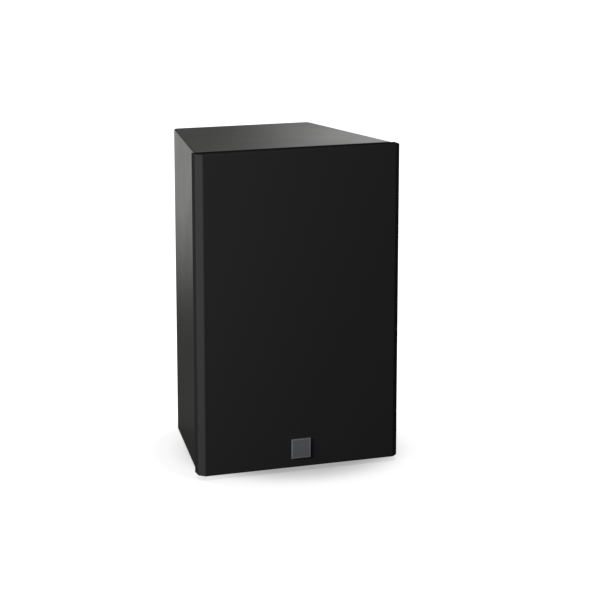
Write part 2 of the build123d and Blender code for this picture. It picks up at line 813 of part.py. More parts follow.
def tag_board(z, depth, inner, outer, lead_x):
    """A strip of board under an axis with two solder tags that point down."""
    with BuildPart() as strip:
        with BuildSketch(face_plane(depth, z - (inner + outer) / 2)):
            Rectangle(2 * lead_x + 2 * tag_width, outer - inner)
        extrude(amount=-tag_board_t)
        with BuildSketch(face_plane(depth + tag_board_t, z - outer)):
            with Locations((-lead_x, 0), (lead_x, 0)):
                Rectangle(tag_width, tag_length)
        extrude(amount=-tag_t)
    return strip


woofer_tag_r = ledge_r + tag_strip_reach
woofer_terminals = tag_board(
    woofer_z, ledge_back, neck_r + basket_wall, woofer_tag_r, woofer_lead_x
)

# ------------------------------------------------------------------ tweeter
tweeter_former_r = dome_r - slip
tweeter_coil_r = tweeter_former_r - tweeter_former_t
tweeter_plate_front = faceplate_t + spacer_t
tweeter_plate_back = tweeter_plate_front + tweeter_plate_t
tweeter_magnet_back = tweeter_plate_back + tweeter_magnet_t

with BuildPart() as tweeter_faceplate:
    # The flange dishes in towards the dome, as a shallow wave guide.
    with BuildSketch(section_plane(tweeter_z)):
        with BuildLine():
            Polyline(
                (throat_r, dish_depth),
                (throat_r, faceplate_t),
                (faceplate_r, faceplate_t),
                (faceplate_r, 0),
                (dish_r, 0),
            )
            RadiusArc((dish_r, 0), (throat_r, dish_depth), -dish_curve_r)
        make_face()
    revolve(axis=driver_axis(tweeter_z))
    with BuildSketch(face_plane(0)):
        with Locations(*tweeter_screw_points):
            Circle(driver_screw[2] + slip)
    extrude(amount=-faceplate_t, mode=Mode.SUBTRACT)
    with BuildSketch(face_plane(0)):
        with Locations(*tweeter_screw_points):
            Circle(driver_screw[0] + slip)
    extrude(amount=-driver_screw[1], mode=Mode.SUBTRACT)

tweeter_screws = screw_group(0, tweeter_screw_points, driver_screw, driver_screw_length)

roll_base = faceplate_t + dome_t
tweeter_dome = dome(tweeter_z, dome_r, roll_base, dome_rise, dome_t)

with BuildPart() as tweeter_roll:
    small_roll_middle = (tweeter_roll_r + dome_r + slip) / 2
    small_roll_r = (tweeter_roll_r - dome_r - slip) / 2
    with BuildSketch(section_plane(tweeter_z)):
        with Locations((small_roll_middle, roll_base)):
            Circle(small_roll_r)
            Circle(small_roll_r - dome_t, mode=Mode.SUBTRACT)
            Rectangle(
                3 * small_roll_r, 2 * small_roll_r, align=(Align.CENTER, Align.MIN), mode=Mode.SUBTRACT
            )
        with Locations((tweeter_roll_r - dome_t / 2, roll_base)):
            Rectangle(tweeter_rim_r - tweeter_roll_r + dome_t / 2, dome_t, align=(Align.MIN, Align.MAX))
    revolve(axis=driver_axis(tweeter_z))

with BuildPart() as tweeter_coil:
    add(
        ring(
            tweeter_z, tweeter_coil_r, tweeter_former_r, roll_base + slip, tweeter_plate_back + tweeter_gap
        ).part
    )
    add(
        ring(
            tweeter_z,
            tweeter_former_r,
            tweeter_former_r + tweeter_winding_t,
            tweeter_plate_back + tweeter_gap - tweeter_winding_height,
            tweeter_plate_back + tweeter_gap,
        ).part
    )

with BuildPart() as tweeter_spacer:
    add(ring(tweeter_z, throat_r, spacer_r, faceplate_t, tweeter_plate_front).part)
    with BuildSketch(face_plane(faceplate_t, tweeter_z)):
        Circle(tweeter_rim_r + slip)
    extrude(amount=-dome_t, mode=Mode.SUBTRACT)

tweeter_top_plate = ring(
    tweeter_z,
    tweeter_former_r + tweeter_winding_t + tweeter_gap,
    tweeter_plate_r,
    tweeter_plate_front,
    tweeter_plate_back,
)
tweeter_magnet = ring(
    tweeter_z, tweeter_magnet_bore_r, tweeter_magnet_r, tweeter_plate_back, tweeter_magnet_back, plate_chamfer
)
tweeter_yoke = yoke(
    tweeter_z,
    tweeter_yoke_r,
    tweeter_coil_r - tweeter_gap,
    tweeter_vent_r,
    tweeter_plate_front,
    tweeter_magnet_back,
    tweeter_magnet_back + tweeter_yoke_t,
)
tweeter_terminals = tag_board(
    tweeter_z, tweeter_magnet_back + tweeter_yoke_t, tweeter_yoke_r / 2, tweeter_yoke_r, tweeter_lead_x
)

# ------------------------------------------------------------------ back: port
port_front = cabinet_depth - port_length
port_back = cabinet_depth + back_flange_t

with BuildPart() as port_tube:
    with BuildSketch(section_plane(port_z)):
        with BuildLine():
            # Inner face, from the flared inner end to the flared mouth.
            RadiusArc(
                (port_r + port_inner_flare_r, port_front),
                (port_r, port_front + port_inner_flare_r),
                port_inner_flare_r,
            )
            Line((port_r, port_front + port_inner_flare_r), (port_r, port_back - port_flare_r))
            RadiusArc((port_r, port_back - port_flare_r), (port_r + port_flare_r, port_back), port_flare_r)
            # Outer face, from the flange back to the inner end.
            Polyline(
                (port_r + port_flare_r, port_back),
                (port_flange_r - back_flange_edge, port_back),
                (port_flange_r, port_back - back_flange_edge),
                (port_flange_r, cabinet_depth),
                (port_boss_r, cabinet_depth),
                (port_boss_r, back_inside),
                (port_r + port_wall, back_inside - port_flare_r),
                (port_r + port_wall, port_front + port_inner_flare_r + port_wall),
                (port_r + port_inner_flare_r + port_wall, port_front),
                (port_r + port_inner_flare_r, port_front),
            )
        make_face()
    revolve(axis=driver_axis(port_z))

# ------------------------------------------------------------------ back: terminal cup
cup_floor = cabinet_depth - cup_recess
floor_front = cup_floor - cup_wall

with BuildPart() as terminal_cup:
    with BuildSketch(face_plane(cabinet_depth, cup_z)):
        RectangleRounded(cup_flange_width, cup_flange_height, cup_flange_corner_r)
    extrude(amount=-back_flange_t)
    fillet(terminal_cup.faces().sort_by(Axis.Y)[-1].edges(), back_flange_edge)
    with BuildSketch(face_plane(floor_front, cup_z)):
        RectangleRounded(cup_width + 2 * cup_wall, cup_height + 2 * cup_wall, cup_corner_r + cup_wall)
    extrude(amount=floor_front - cabinet_depth)
    with BuildSketch(face_plane(cup_floor, cup_z)):
        RectangleRounded(cup_width, cup_height, cup_corner_r)
    extrude(amount=-(cup_recess + back_flange_t), mode=Mode.SUBTRACT)
    with BuildSketch(face_plane(floor_front, cup_z)):
        with Locations((-post_spacing / 2, 0), (post_spacing / 2, 0)):
            Circle(stem_r + slip)
    extrude(amount=-cup_wall, mode=Mode.SUBTRACT)
    with BuildSketch(face_plane(cabinet_depth)):
        with Locations(*cup_screw_points):
            Circle(cup_screw[2] + slip)
    extrude(amount=-back_flange_t, mode=Mode.SUBTRACT)
    with BuildSketch(face_plane(port_back)):
        with Locations(*cup_screw_points):
            Circle(cup_screw[0] + slip)
    extrude(amount=cup_screw[1], mode=Mode.SUBTRACT)

terminal_cup_screws = screw_group(port_back, cup_screw_points, cup_screw, cup_screw_length, towards=-1)


# ------------------------------------------------------------------ back: binding posts
def post_plane(side, depth):
    """The plane across one post at a depth, facing rearwards."""
    return Plane(origin=(side * post_spacing / 2, y_front + depth, cup_z), x_dir=(-1, 0, 0), z_dir=(0, 1, 0))


collar_back = cup_floor + collar_t
washer_front = collar_back + clamp_gap
cap_front = washer_front + washer_t + cap_gap
stem_tip = cup_floor + stem_reach


def post_stem(side):
    """A post's threaded stem with its collar, the socket in its tip and the hole for bare wire."""
    with BuildPart() as stem:
        with BuildSketch(post_plane(side, floor_front - stem_tail)):
            Circle(stem_r)
        extrude(amount=stem_tip - floor_front + stem_tail)
        with BuildSketch(post_plane(side, cup_floor)):
            Circle(collar_r)
        extrude(amount=collar_t)
        with BuildSketch(post_plane(side, stem_tip - plug_bore_depth)):
            Circle(plug_bore_r)
        extrude(amount=plug_bore_depth, mode=Mode.SUBTRACT)
        upright = Plane(
            origin=(side * post_spacing / 2, y_front + collar_back + clamp_gap + wire_hole_r, cup_z)
        )
        with BuildSketch(upright):
            Circle(wire_hole_r)
        extrude(amount=2 * stem_r, both=True, mode=Mode.SUBTRACT)
    return stem


def post_washer(side):
    """The flat washer that clamps bare wire against the collar."""
    with BuildPart() as washer:
        with BuildSketch(post_plane(side, washer_front)):
            Circle(collar_r)
            Circle(stem_r + thread_play, mode=Mode.SUBTRACT)
        extrude(amount=washer_t)
    return washer


def post_cap(side):
    """The fluted cap that screws along the stem."""
    with BuildPart() as cap:
        with BuildSketch(post_plane(side, cap_front)):
            Circle(collar_r)
            with PolarLocations(collar_r + flute_offset, flute_count):
                Circle(flute_r, mode=Mode.SUBTRACT)
        extrude(amount=post_cap_length)
        with BuildSketch(post_plane(side, cap_front + post_cap_length)):
            Circle(collar_r - flute_r)
        extrude(amount=post_cap_chamfer)
        with BuildSketch(post_plane(side, cap_front)):
            Circle(stem_r + thread_play)
        extrude(amount=post_cap_length + post_cap_chamfer, mode=Mode.SUBTRACT)
    return cap


red_post_stem = post_stem(1)
red_post_washer = post_washer(1)
red_post_cap = post_cap(1)
black_post_stem = post_stem(-1)
black_post_washer = post_washer(-1)
black_post_cap = post_cap(-1)

post_tag_end = cup_z - nut_flats / 2 - tag_length
post_tag_depth = floor_front - barrel_r - slip

with BuildPart() as post_tags:
    # Ring lugs under the nuts, each with a crimp barrel that points down.
    with BuildSketch(face_plane(floor_front, cup_z)):
        for side in (-1, 1):
            with Locations((side * post_spacing / 2, 0)):
                Circle(nut_flats / 2)
                Rectangle(2 * barrel_r, nut_flats / 2 + tag_length, align=(Align.CENTER, Align.MAX))
                Circle(stem_r + slip, mode=Mode.SUBTRACT)
    extrude(amount=tag_t)
    with BuildSketch(Plane.XY.offset(post_tag_end)):
        with Locations(*[(side * post_spacing / 2, y_front + post_tag_depth) for side in (-1, 1)]):
            Circle(barrel_r)
    extrude(amount=tag_length / 2)

with BuildPart() as post_nuts:
    with BuildSketch(face_plane(floor_front - tag_t, cup_z)):
        with Locations((-post_spacing / 2, 0), (post_spacing / 2, 0)):
            RegularPolygon(nut_flats / 2, 6, major_radius=False)
            Circle(stem_r + slip, mode=Mode.SUBTRACT)
    extrude(amount=nut_t)

# ------------------------------------------------------------------ crossover
board_z = inner_bottom + standoff_h
board_top = board_z + board_t
board_middle = y_front + board_front + board_length / 2
tab_top = board_top + tab_height

with BuildPart() as crossover_standoffs:
    with BuildSketch(Plane.XY.offset(inner_bottom)):
        with Locations(*board_points):
            Circle(standoff_r)
            Circle(board_screw[2] + slip, mode=Mode.SUBTRACT)
    extrude(amount=standoff_h)

with BuildPart() as crossover_screws:
    with BuildSketch(Plane.XY.offset(board_top)):
        with Locations(*board_points):
            Circle(board_screw[0])
    extrude(amount=board_screw[1])
    with BuildSketch(Plane.XY.offset(board_top)):
        with Locations(*board_points):
            Circle(board_screw[2])
    extrude(amount=-board_screw_length)

woofer_tab_depth = board_front + tag_width
tweeter_tab_depth = magnet_back + yoke_t + tweeter_tab_gap
input_tab_depth = board_front + board_length - tag_width
tab_rows = (
    (woofer_lead_x, woofer_tab_depth),
    (tweeter_lead_x, tweeter_tab_depth),
    (post_spacing / 2, input_tab_depth),
)

with BuildPart() as crossover_board:
    with BuildSketch(Plane.XY.offset(board_z)):
        with Locations((0, board_middle)):
            Rectangle(board_width, board_length)
        with Locations(*board_points):
            Circle(board_screw[2] + slip, mode=Mode.SUBTRACT)
    extrude(amount=board_t)
    with BuildSketch(Plane.XY.offset(board_top)):
        for lead_x, depth in tab_rows:
            with Locations((-lead_x, y_front + depth), (lead_x, y_front + depth)):
                Rectangle(tag_width, 2 * wire_r)
    extrude(amount=tab_height)

board_edge_y = y_front + board_front

# Both coils are wound on air, one upright and one on its side.
with BuildPart() as crossover_inductors:
    with BuildSketch(Plane.XY.offset(board_top)):
        with Locations((upright_coil_place[0], board_edge_y + upright_coil_place[1])):
            Circle(upright_coil_r)
            Circle(upright_coil_bore_r, mode=Mode.SUBTRACT)
    extrude(amount=upright_coil_height)
    lying_middle = (lying_coil_place[0], board_edge_y + lying_coil_place[1], board_top + lying_coil_r)
    with BuildSketch(Plane(origin=lying_middle, z_dir=(1, 0, 0))):
        Circle(lying_coil_r)
        Circle(lying_coil_bore_r, mode=Mode.SUBTRACT)
    extrude(amount=lying_coil_length / 2, both=True)
    fillet(crossover_inductors.edges().filter_by(GeomType.CIRCLE), coil_round)

with BuildPart() as crossover_capacitors:
    for x, back, radius, length in capacitor_sizes:
        with BuildSketch(Plane(origin=(x, board_edge_y + back, board_top + radius), z_dir=(1, 0, 0))):
            Circle(radius)
        extrude(amount=length / 2, both=True)

with BuildPart() as crossover_resistors:
    with BuildSketch(Plane.XY.offset(board_top)):
        with Locations(*[(x, board_edge_y + back) for x, back in resistor_places]):
            Rectangle(resistor_length, resistor_side)
    extrude(amount=resistor_side)

# ------------------------------------------------------------------ internal wiring
woofer_tag_depth = ledge_back + tag_board_t + tag_t / 2
tweeter_tag_depth = tweeter_magnet_back + tweeter_yoke_t + tag_board_t + tag_t / 2
woofer_tag_end = woofer_z - woofer_tag_r - tag_length / 2
tweeter_tag_end = tweeter_z - tweeter_yoke_r - tag_length / 2


def lead_pair(lead_x, route, bend_r):
    """Two leads side by side along one route of (depth, height) points."""
    with BuildPart() as pair:
        for side in (-1, 1):
            add(wire([(side * lead_x, y_front + depth, z) for depth, z in route], bend_r))
    return pair


woofer_turn = (woofer_tag_end + tab_top) / 2
woofer_wires = lead_pair(
    woofer_lead_x,
    (
        (woofer_tag_depth, woofer_tag_end),
        (woofer_tag_depth, woofer_turn),
        (woofer_tab_depth, woofer_turn),
        (woofer_tab_depth, tab_top),
    ),
    wire_bend_r,
)
input_turn = (post_tag_end + tab_top) / 2
input_wires = lead_pair(
    post_spacing / 2,
    (
        (post_tag_depth, post_tag_end),
        (post_tag_depth, input_turn),
        (input_tab_depth, input_turn),
        (input_tab_depth, tab_top),
    ),
    input_bend_r,
)
tweeter_turn = (tweeter_tag_end + brace_z + brace_t) / 2
tweeter_wires = lead_pair(
    tweeter_lead_x,
    (
        (tweeter_tag_depth, tweeter_tag_end),
        (tweeter_tag_depth, tweeter_turn),
        (tweeter_tab_depth, tweeter_turn),
        (tweeter_tab_depth, tab_top),
    ),
    wire_bend_r,
)

# ------------------------------------------------------------------ one file for each piece
pieces = {
    "cabinet_top": cabinet_top,
    "cabinet_bottom": cabinet_bottom,
    "cabinet_left_side": cabinet_left_side,
    "cabinet_right_side": cabinet_right_side,
    "cabinet_back": cabinet_back,
    "front_baffle": front_baffle,
    "window_brace": window_brace,
    "left_damping_pad": left_damping_pad,
    "right_damping_pad": right_damping_pad,
    "rubber_feet": rubber_feet,
    "wall_mount_inserts": wall_mount_inserts,
    "grille_sockets": grille_sockets,
    "grille_frame": grille_frame,
    "grille_cloth": grille_cloth,
    "grille_pegs": grille_pegs,
    "badge": badge,
    "woofer_basket": woofer_basket,
    "woofer_gasket": woofer_gasket,
    "woofer_screws": woofer_screws,
    "woofer_terminals": woofer_terminals,
    "woofer_surround": woofer_surround,
    "woofer_cone": woofer_cone,
    "woofer_dust_cap": woofer_dust_cap,
    "woofer_former": woofer_former,
    "woofer_coil": woofer_coil,
    "woofer_spider": woofer_spider,
    "woofer_top_plate": woofer_top_plate,
    "woofer_magnet": woofer_magnet,
    "woofer_yoke": woofer_yoke,
    "tweeter_faceplate": tweeter_faceplate,
    "tweeter_screws": tweeter_screws,
    "tweeter_terminals": tweeter_terminals,
    "tweeter_dome": tweeter_dome,
    "tweeter_roll": tweeter_roll,
    "tweeter_coil": tweeter_coil,
    "tweeter_spacer": tweeter_spacer,
    "tweeter_top_plate": tweeter_top_plate,
    "tweeter_magnet": tweeter_magnet,
    "tweeter_yoke": tweeter_yoke,
    "port_tube": port_tube,
    "terminal_cup": terminal_cup,
    "terminal_cup_screws": terminal_cup_screws,
    "red_post_stem": red_post_stem,
    "red_post_washer": red_post_washer,
    "red_post_cap": red_post_cap,
    "black_post_stem": black_post_stem,
    "black_post_washer": black_post_washer,
    "black_post_cap": black_post_cap,
    "post_tags": post_tags,
    "post_nuts": post_nuts,
    "crossover_board": crossover_board,
    "crossover_standoffs": crossover_standoffs,
    "crossover_screws": crossover_screws,
    "crossover_inductors": crossover_inductors,
    "crossover_capacitors": crossover_capacitors,
    "crossover_resistors": crossover_resistors,
    "woofer_wires": woofer_wires,
    "tweeter_wires": tweeter_wires,
    "input_wires": input_wires,
}

os.makedirs("parts", exist_ok=True)
for name, piece in pieces.items():
    piece.part.label = name
    export_step(piece.part, f"parts/{name}.step")
    print(f"{name}: {len(piece.part.solids())} solids, {piece.part.volume:.0f} mm3")
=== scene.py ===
# %% [markdown]
# # A two-way bookshelf loudspeaker
# The real object is a tapering cabinet of lacquered board with a cloth grille that pulls off its front.
# The solid model already holds every piece at its true size, so this lesson loads it as a fixed frame
# and dresses it: some solids only get a finish, and some are stood for by a finer mesh.

# %% Load the frame
import math

import bmesh
import bpy
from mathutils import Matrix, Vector, noise
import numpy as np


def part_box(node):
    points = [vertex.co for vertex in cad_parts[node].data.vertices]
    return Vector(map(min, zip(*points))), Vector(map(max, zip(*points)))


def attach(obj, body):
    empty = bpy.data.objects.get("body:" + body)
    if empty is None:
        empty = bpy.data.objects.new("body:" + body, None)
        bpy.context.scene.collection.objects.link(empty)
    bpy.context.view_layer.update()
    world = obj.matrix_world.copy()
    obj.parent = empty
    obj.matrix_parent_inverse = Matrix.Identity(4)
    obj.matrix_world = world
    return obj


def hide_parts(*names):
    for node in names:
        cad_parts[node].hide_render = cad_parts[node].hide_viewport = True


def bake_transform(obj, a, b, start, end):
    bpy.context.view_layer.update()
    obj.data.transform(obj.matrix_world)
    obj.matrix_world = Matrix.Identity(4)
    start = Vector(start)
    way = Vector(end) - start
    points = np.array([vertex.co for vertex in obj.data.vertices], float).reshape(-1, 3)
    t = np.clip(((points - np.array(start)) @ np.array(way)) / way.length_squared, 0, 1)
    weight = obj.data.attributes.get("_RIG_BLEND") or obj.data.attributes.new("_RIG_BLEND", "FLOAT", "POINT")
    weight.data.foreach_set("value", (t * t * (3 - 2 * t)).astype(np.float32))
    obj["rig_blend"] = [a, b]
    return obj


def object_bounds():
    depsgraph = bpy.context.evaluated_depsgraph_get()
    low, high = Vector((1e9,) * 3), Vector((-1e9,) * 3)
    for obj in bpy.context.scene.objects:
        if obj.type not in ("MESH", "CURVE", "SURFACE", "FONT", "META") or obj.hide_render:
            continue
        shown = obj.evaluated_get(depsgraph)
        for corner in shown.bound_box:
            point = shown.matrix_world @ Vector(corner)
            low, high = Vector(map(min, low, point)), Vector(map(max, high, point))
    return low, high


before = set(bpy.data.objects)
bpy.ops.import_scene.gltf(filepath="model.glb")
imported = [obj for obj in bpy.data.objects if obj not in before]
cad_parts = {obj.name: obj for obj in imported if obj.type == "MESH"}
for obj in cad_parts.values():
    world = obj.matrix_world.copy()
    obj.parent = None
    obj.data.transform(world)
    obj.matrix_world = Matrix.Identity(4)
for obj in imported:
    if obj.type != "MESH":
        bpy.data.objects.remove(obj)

MM = 0.001  # Blender works in metres, and a maker thinks in millimetres
cad_low, cad_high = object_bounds()
front_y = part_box("front_baffle")[0].y  # the cabinet's front plane; depths are counted back from it
print("solids:", len(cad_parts), "nodes, box in mm",
      [round(v / MM, 1) for v in cad_high - cad_low])

# %% [markdown]
# ## Where the viewer stands
# A catalogue view of a loudspeaker looks a little down on it and a little from one side, through a long
# lens, so that upright edges stay nearly upright. A long lens from two metres away does the same here:
# the angle comes from where the camera stands and how it turns, and no shift is needed.

# %% Camera
camera_data = bpy.data.cameras.new("camera")
camera_data.sensor_width = 36.0
camera_data.lens = 125.6
camera = bpy.data.objects.new("camera", camera_data)
camera.location = (-0.6677, -1.9259, 0.6115)
look_down, look_right = 12.71, 19.95  # degrees
camera.rotation_euler = (math.radians(90 - look_down), 0.0, math.radians(-look_right))
bpy.context.scene.collection.objects.link(camera)
bpy.context.scene.camera = camera
print("camera:", camera_data.lens, "mm lens,", round(camera.location.length, 2), "m from the origin")

# %% [markdown]
# ## Building materials from nodes
# A material in Blender is a tree of small nodes, each with inputs and outputs. A script that makes every
# node and every link in a line of its own soon gets long, so these helpers add a node, feed its inputs
# and give back what the next node needs. The studio and every finish below are made with them.

# %% Helpers for nodes
def empty_tree(owner):
    """The node tree of a world or a material, switched on and emptied."""
    owner.use_nodes = True
    owner.node_tree.nodes.clear()
    return owner.node_tree


def give(tree, socket, value):
    """Links an input to another node's output, or sets it. A plain colour is three numbers."""
    if hasattr(value, "is_output"):
        tree.links.new(value, socket)
    elif socket.type == "RGBA":
        socket.default_value = (*value, 1.0)
    else:
        socket.default_value = value


def feed(tree, node, *in_order, **named):
    """Feeds a node's inputs in their order, or by name with _ for a space."""
    for socket, value in zip(node.inputs, in_order):
        give(tree, socket, value)
    for name, value in named.items():
        give(tree, node.inputs[name.replace("_", " ")], value)
    return node


def add(tree, kind, *in_order, **named):
    """A new shader node. A name in small letters is a setting of the node, and the others are inputs."""
    node = tree.nodes.new("ShaderNode" + kind)
    for name in [n for n in named if n[0].islower()]:
        setattr(node, name, named.pop(name))
    return feed(tree, node, *in_order, **named)


def math_of(tree, operation, *values):
    """One step of arithmetic on outputs or plain numbers."""
    return add(tree, "Math", *values, operation=operation).outputs[0]


def reach(tree, value, low, high, to_low=0.0, to_high=1.0, ease="LINEAR"):
    """A value taken from one span to another, and held at its ends."""
    return add(tree, "MapRange", value, low, high, to_low, to_high, interpolation_type=ease).outputs[0]


def axes_of(tree, place):
    """The outputs X, Y and Z of a place."""
    return add(tree, "SeparateXYZ", place).outputs


def wave(tree, value, length):
    """A wave from -1 to 1 along a value that comes back after a length."""
    return math_of(tree, "SINE", math_of(tree, "MULTIPLY", value, 2 * math.pi / length))


print("node helpers ready")

# %% [markdown]
# ## A white studio
# Small products are shown on a seamless white sweep. Turning the lamps up until a sweep burns out would
# wash out the product too. Instead the floor glows a little for the rays that come from the camera, or by
# way of a mirror or glass, and a plain diffuse part on top of it still catches the soft shadow. The glow is
# weaker near the cabinet's foot, which paints more of that shadow round it.

# %% Floor and world
bpy.context.scene.view_settings.view_transform = "Standard"  # a colour then renders as it is written

fill_light = 0.16
# The glow grows away from the cabinet's foot, which paints a soft shadow round it: from metres, to metres,
# and how much it adds.
contact_glow, glow_centre = 0.384, (0.0143, -0.014, 0.0)
near_rise, far_rise = (0.0741, 0.1285, 0.392), (0.1285, 0.185, 0.33)
white, paper_white, dim_white = (1.0, 1.0, 1.0), (0.9, 0.9, 0.9), (0.28, 0.28, 0.28)
floor_reach = 15.0  # metres from the cabinet to the sweep's edge


def seen_directly(tree):
    """1 for rays from the camera, a glossy surface or glass, and 0 for the light that fills a room."""
    path = add(tree, "LightPath")
    total = path.outputs["Is Camera Ray"]
    for kind in ("Is Glossy Ray", "Is Transmission Ray"):
        total = math_of(tree, "MAXIMUM", total, path.outputs[kind])
    return total


world = bpy.data.worlds.new("studio")
bpy.context.scene.world = world
tree = empty_tree(world)
room = add(tree, "Background", Color=white, Strength=fill_light)
sweep = add(tree, "Background", Color=white, Strength=1.0)
choose = add(tree, "MixShader", seen_directly(tree), room.outputs[0], sweep.outputs[0])
add(tree, "OutputWorld", Surface=choose.outputs[0])

floor_finish = bpy.data.materials.new("white_sweep")
tree = empty_tree(floor_finish)
paper = add(tree, "BsdfDiffuse", Color=paper_white)
dim_paper = add(tree, "BsdfDiffuse", Color=dim_white)  # keeps the floor from lighting the cabinet
where = add(tree, "TexCoord").outputs["Object"]
distance = add(tree, "VectorMath", where, glow_centre, operation="DISTANCE").outputs["Value"]
strength = contact_glow
# painted shadow: the glow is least at the cabinet's foot and rises with distance from it
for start, end, gain in (near_rise, far_rise):
    rise = reach(tree, distance, start, end, 0.0, gain, "SMOOTHSTEP")
    strength = math_of(tree, "ADD", rise, strength)
glow = add(tree, "Emission", Strength=strength)
both = add(tree, "AddShader", paper.outputs[0], glow.outputs[0])
choose = add(tree, "MixShader", seen_directly(tree), dim_paper.outputs[0], both.outputs[0])
add(tree, "OutputMaterial", Surface=choose.outputs[0])

floor_mesh = bpy.data.meshes.new("floor")
bm = bmesh.new()
bmesh.ops.create_grid(bm, x_segments=1, y_segments=1, size=floor_reach)
bm.to_mesh(floor_mesh)
bm.free()
floor_mesh.materials.append(floor_finish)
floor = bpy.data.objects.new("floor", floor_mesh)
bpy.context.scene.collection.objects.link(floor)
print("floor: glow", contact_glow, "at the cabinet, fill light", fill_light)

# %% [markdown]
# ## Soft light
# Black lacquer and black cloth show almost nothing but their light. A large soft lamp close on the left
# gives the grille its slow fade from left to right and picks out its chamfer. A weak one overhead keeps
# the upper faces from going dead, one on the right lifts the far side of the grille, and one behind
# lights the back panel. Those four are linked away from the floor. A lamp of its own lights the floor
# from above, so that the sweep keeps only the soft shadow right under the cabinet.

# %% Lamps
def softbox(name, place, target, width, height, power, reaches="EXCLUDE", mirrored=False):
    """A soft lamp at a place that faces a target, in metres. It is kept off the floor with EXCLUDE, or on
    nothing but the floor with INCLUDE, and reflections show it only where it is mirrored."""
    lamp_data = bpy.data.lights.new(name, "AREA")
    lamp_data.shape = "RECTANGLE"
    lamp_data.size, lamp_data.size_y = width, height
    lamp_data.energy = power
    lamp = bpy.data.objects.new(name, lamp_data)
    lamp.location = place
    lamp.rotation_euler = (Vector(target) - Vector(place)).to_track_quat("-Z", "Y").to_euler()
    lamp.visible_glossy = mirrored
    bpy.context.scene.collection.objects.link(lamp)
    reached = bpy.data.collections.new(name + "_reach")
    reached.objects.link(floor)
    reached.collection_objects[0].light_linking.link_state = reaches
    lamp.light_linking.receiver_collection = reached
    print(name, power, "W")


middle = (0.0, 0.0, cad_high.z / 2)
softbox("side_lamp", (-0.86, -0.30, 0.39), middle, 0.4, 0.5, 25.0)
softbox("overhead_lamp", (0.0, 0.1, 1.9), (0.0, 0.0, 0.0), 1.6, 1.6, 1.6, mirrored=True)
softbox("floor_lamp", (0.0, front_y, 1.9), (0.0, front_y, 0.0), 0.8, 0.8, 6.0, reaches="INCLUDE")
softbox("right_lamp", (0.5, -0.5, 0.9), middle, 0.5, 0.5, 3.0)
softbox("back_lamp", (0.55, 1.35, 0.75), middle, 1.0, 1.0, 16.0)

# %% [markdown]
# ## Black cards
# A studio gives a black product its shape with black cards that the lens doesn't see. Lacquer seen
# at a shallow angle mirrors what stands behind it, so a card there with a soft edge turns into a smooth
# fade on the panel. One card leans up from the floor behind the cabinet for its left side, one lies on the
# floor beside it for the foot of that side, and one stands further back for its top. They are hidden from
# everything but reflections.

# %% Cards for the reflections
def black_card(name, corners, fade_axis, light_at, lightest, dark_at, darkest, clears=None):
    """A card that only reflections see. Along an axis its black goes from lightest to darkest, and it may
    clear towards the right, between two values of X."""
    finish = bpy.data.materials.new(name)
    tree = empty_tree(finish)
    place = axes_of(tree, add(tree, "TexCoord").outputs["Object"])
    cover = reach(tree, place[fade_axis], light_at, dark_at, lightest, darkest, "SMOOTHERSTEP")
    if clears:
        cover = math_of(tree, "MULTIPLY", cover, reach(tree, place["X"], *clears, 1.0, 0.0, "SMOOTHSTEP"))
    clear = add(tree, "BsdfTransparent")
    black = add(tree, "BsdfDiffuse", Color=(0.0, 0.0, 0.0))
    choose = add(tree, "MixShader", cover, clear.outputs[0], black.outputs[0])
    add(tree, "OutputMaterial", Surface=choose.outputs[0])
    bm = bmesh.new()
    bmesh.ops.contextual_create(bm, geom=[bm.verts.new(corner) for corner in corners])
    mesh = bpy.data.meshes.new(name)
    bm.to_mesh(mesh)
    bm.free()
    mesh.materials.append(finish)
    card = bpy.data.objects.new(name, mesh)
    bpy.context.scene.collection.objects.link(card)
    card.visible_camera = card.visible_diffuse = card.visible_shadow = card.visible_transmission = False
    print(name, "fades along", fade_axis)


black_card(
    "card_for_side",
    [(-0.60, 0.0895, 0.002), (0.20, 0.0895, 0.002), (0.20, 0.958, 0.32), (-0.60, 0.958, 0.32)],
    "Z", 0.205, 0.485, 0.048, 0.935, clears=(-0.06, 0.17),
)
black_card(
    "card_for_top",
    [(-0.90, 0.90, 0.34), (0.55, 0.90, 0.34), (0.55, 0.90, 0.90), (-0.90, 0.90, 0.90)],
    "X", 0.53, 0.0, 0.20, 0.87,
)
black_card(
    "card_beside",
    [(-0.60, -0.12, 0.002), (-0.107, -0.12, 0.002), (-0.0722, 0.0895, 0.002), (-0.60, 0.0895, 0.002)],
    "Z", 1.0, 0.93, 0.0, 0.945,
)

# %% [markdown]
# ## Tools for finishes
# Every finish here is one Principled surface with a few patterns on it. Real surfaces differ mostly in
# how rough they are and in their smallest relief, so the helpers below make noise, turn it into a colour
# or a roughness, and turn a height into relief. All patterns are laid out in millimetres on the object's
# own coordinates, so they keep their scale on every piece.

# %% Finish helpers
finishes = {}  # by the name of the slot that the solids carry


def new_finish(slot, name, roughness, metallic=0.0, gloss=0.5):
    """A material for a slot, with one Principled surface. Its gloss is 0.5 on plain smooth things, and
    less on matt ones."""
    finishes[slot] = bpy.data.materials.new(name)
    tree = empty_tree(finishes[slot])
    surface = add(tree, "BsdfPrincipled", Roughness=roughness, Metallic=metallic, Specular_IOR_Level=gloss)
    add(tree, "OutputMaterial", Surface=surface.outputs[0])
    print("finish", len(finishes), name)
    return tree, surface


def place_on_object(tree, centre=(0.0, 0.0, 0.0), stretch=(1.0, 1.0, 1.0)):
    """Object coordinates in millimetres about a centre, stretched along the axes."""
    scale = [s / MM for s in stretch]
    shift = [-c * s for c, s in zip(centre, scale)]
    where = add(tree, "TexCoord").outputs["Object"]
    return add(tree, "Mapping", where, Scale=scale, Location=shift).outputs[0]


def grain(tree, place, size, detail=2.0):
    """Soft noise from 0 to 1 whose spots are about size millimetres across."""
    return add(tree, "TexNoise", place, Scale=1.0 / size, Detail=detail).outputs["Fac"]


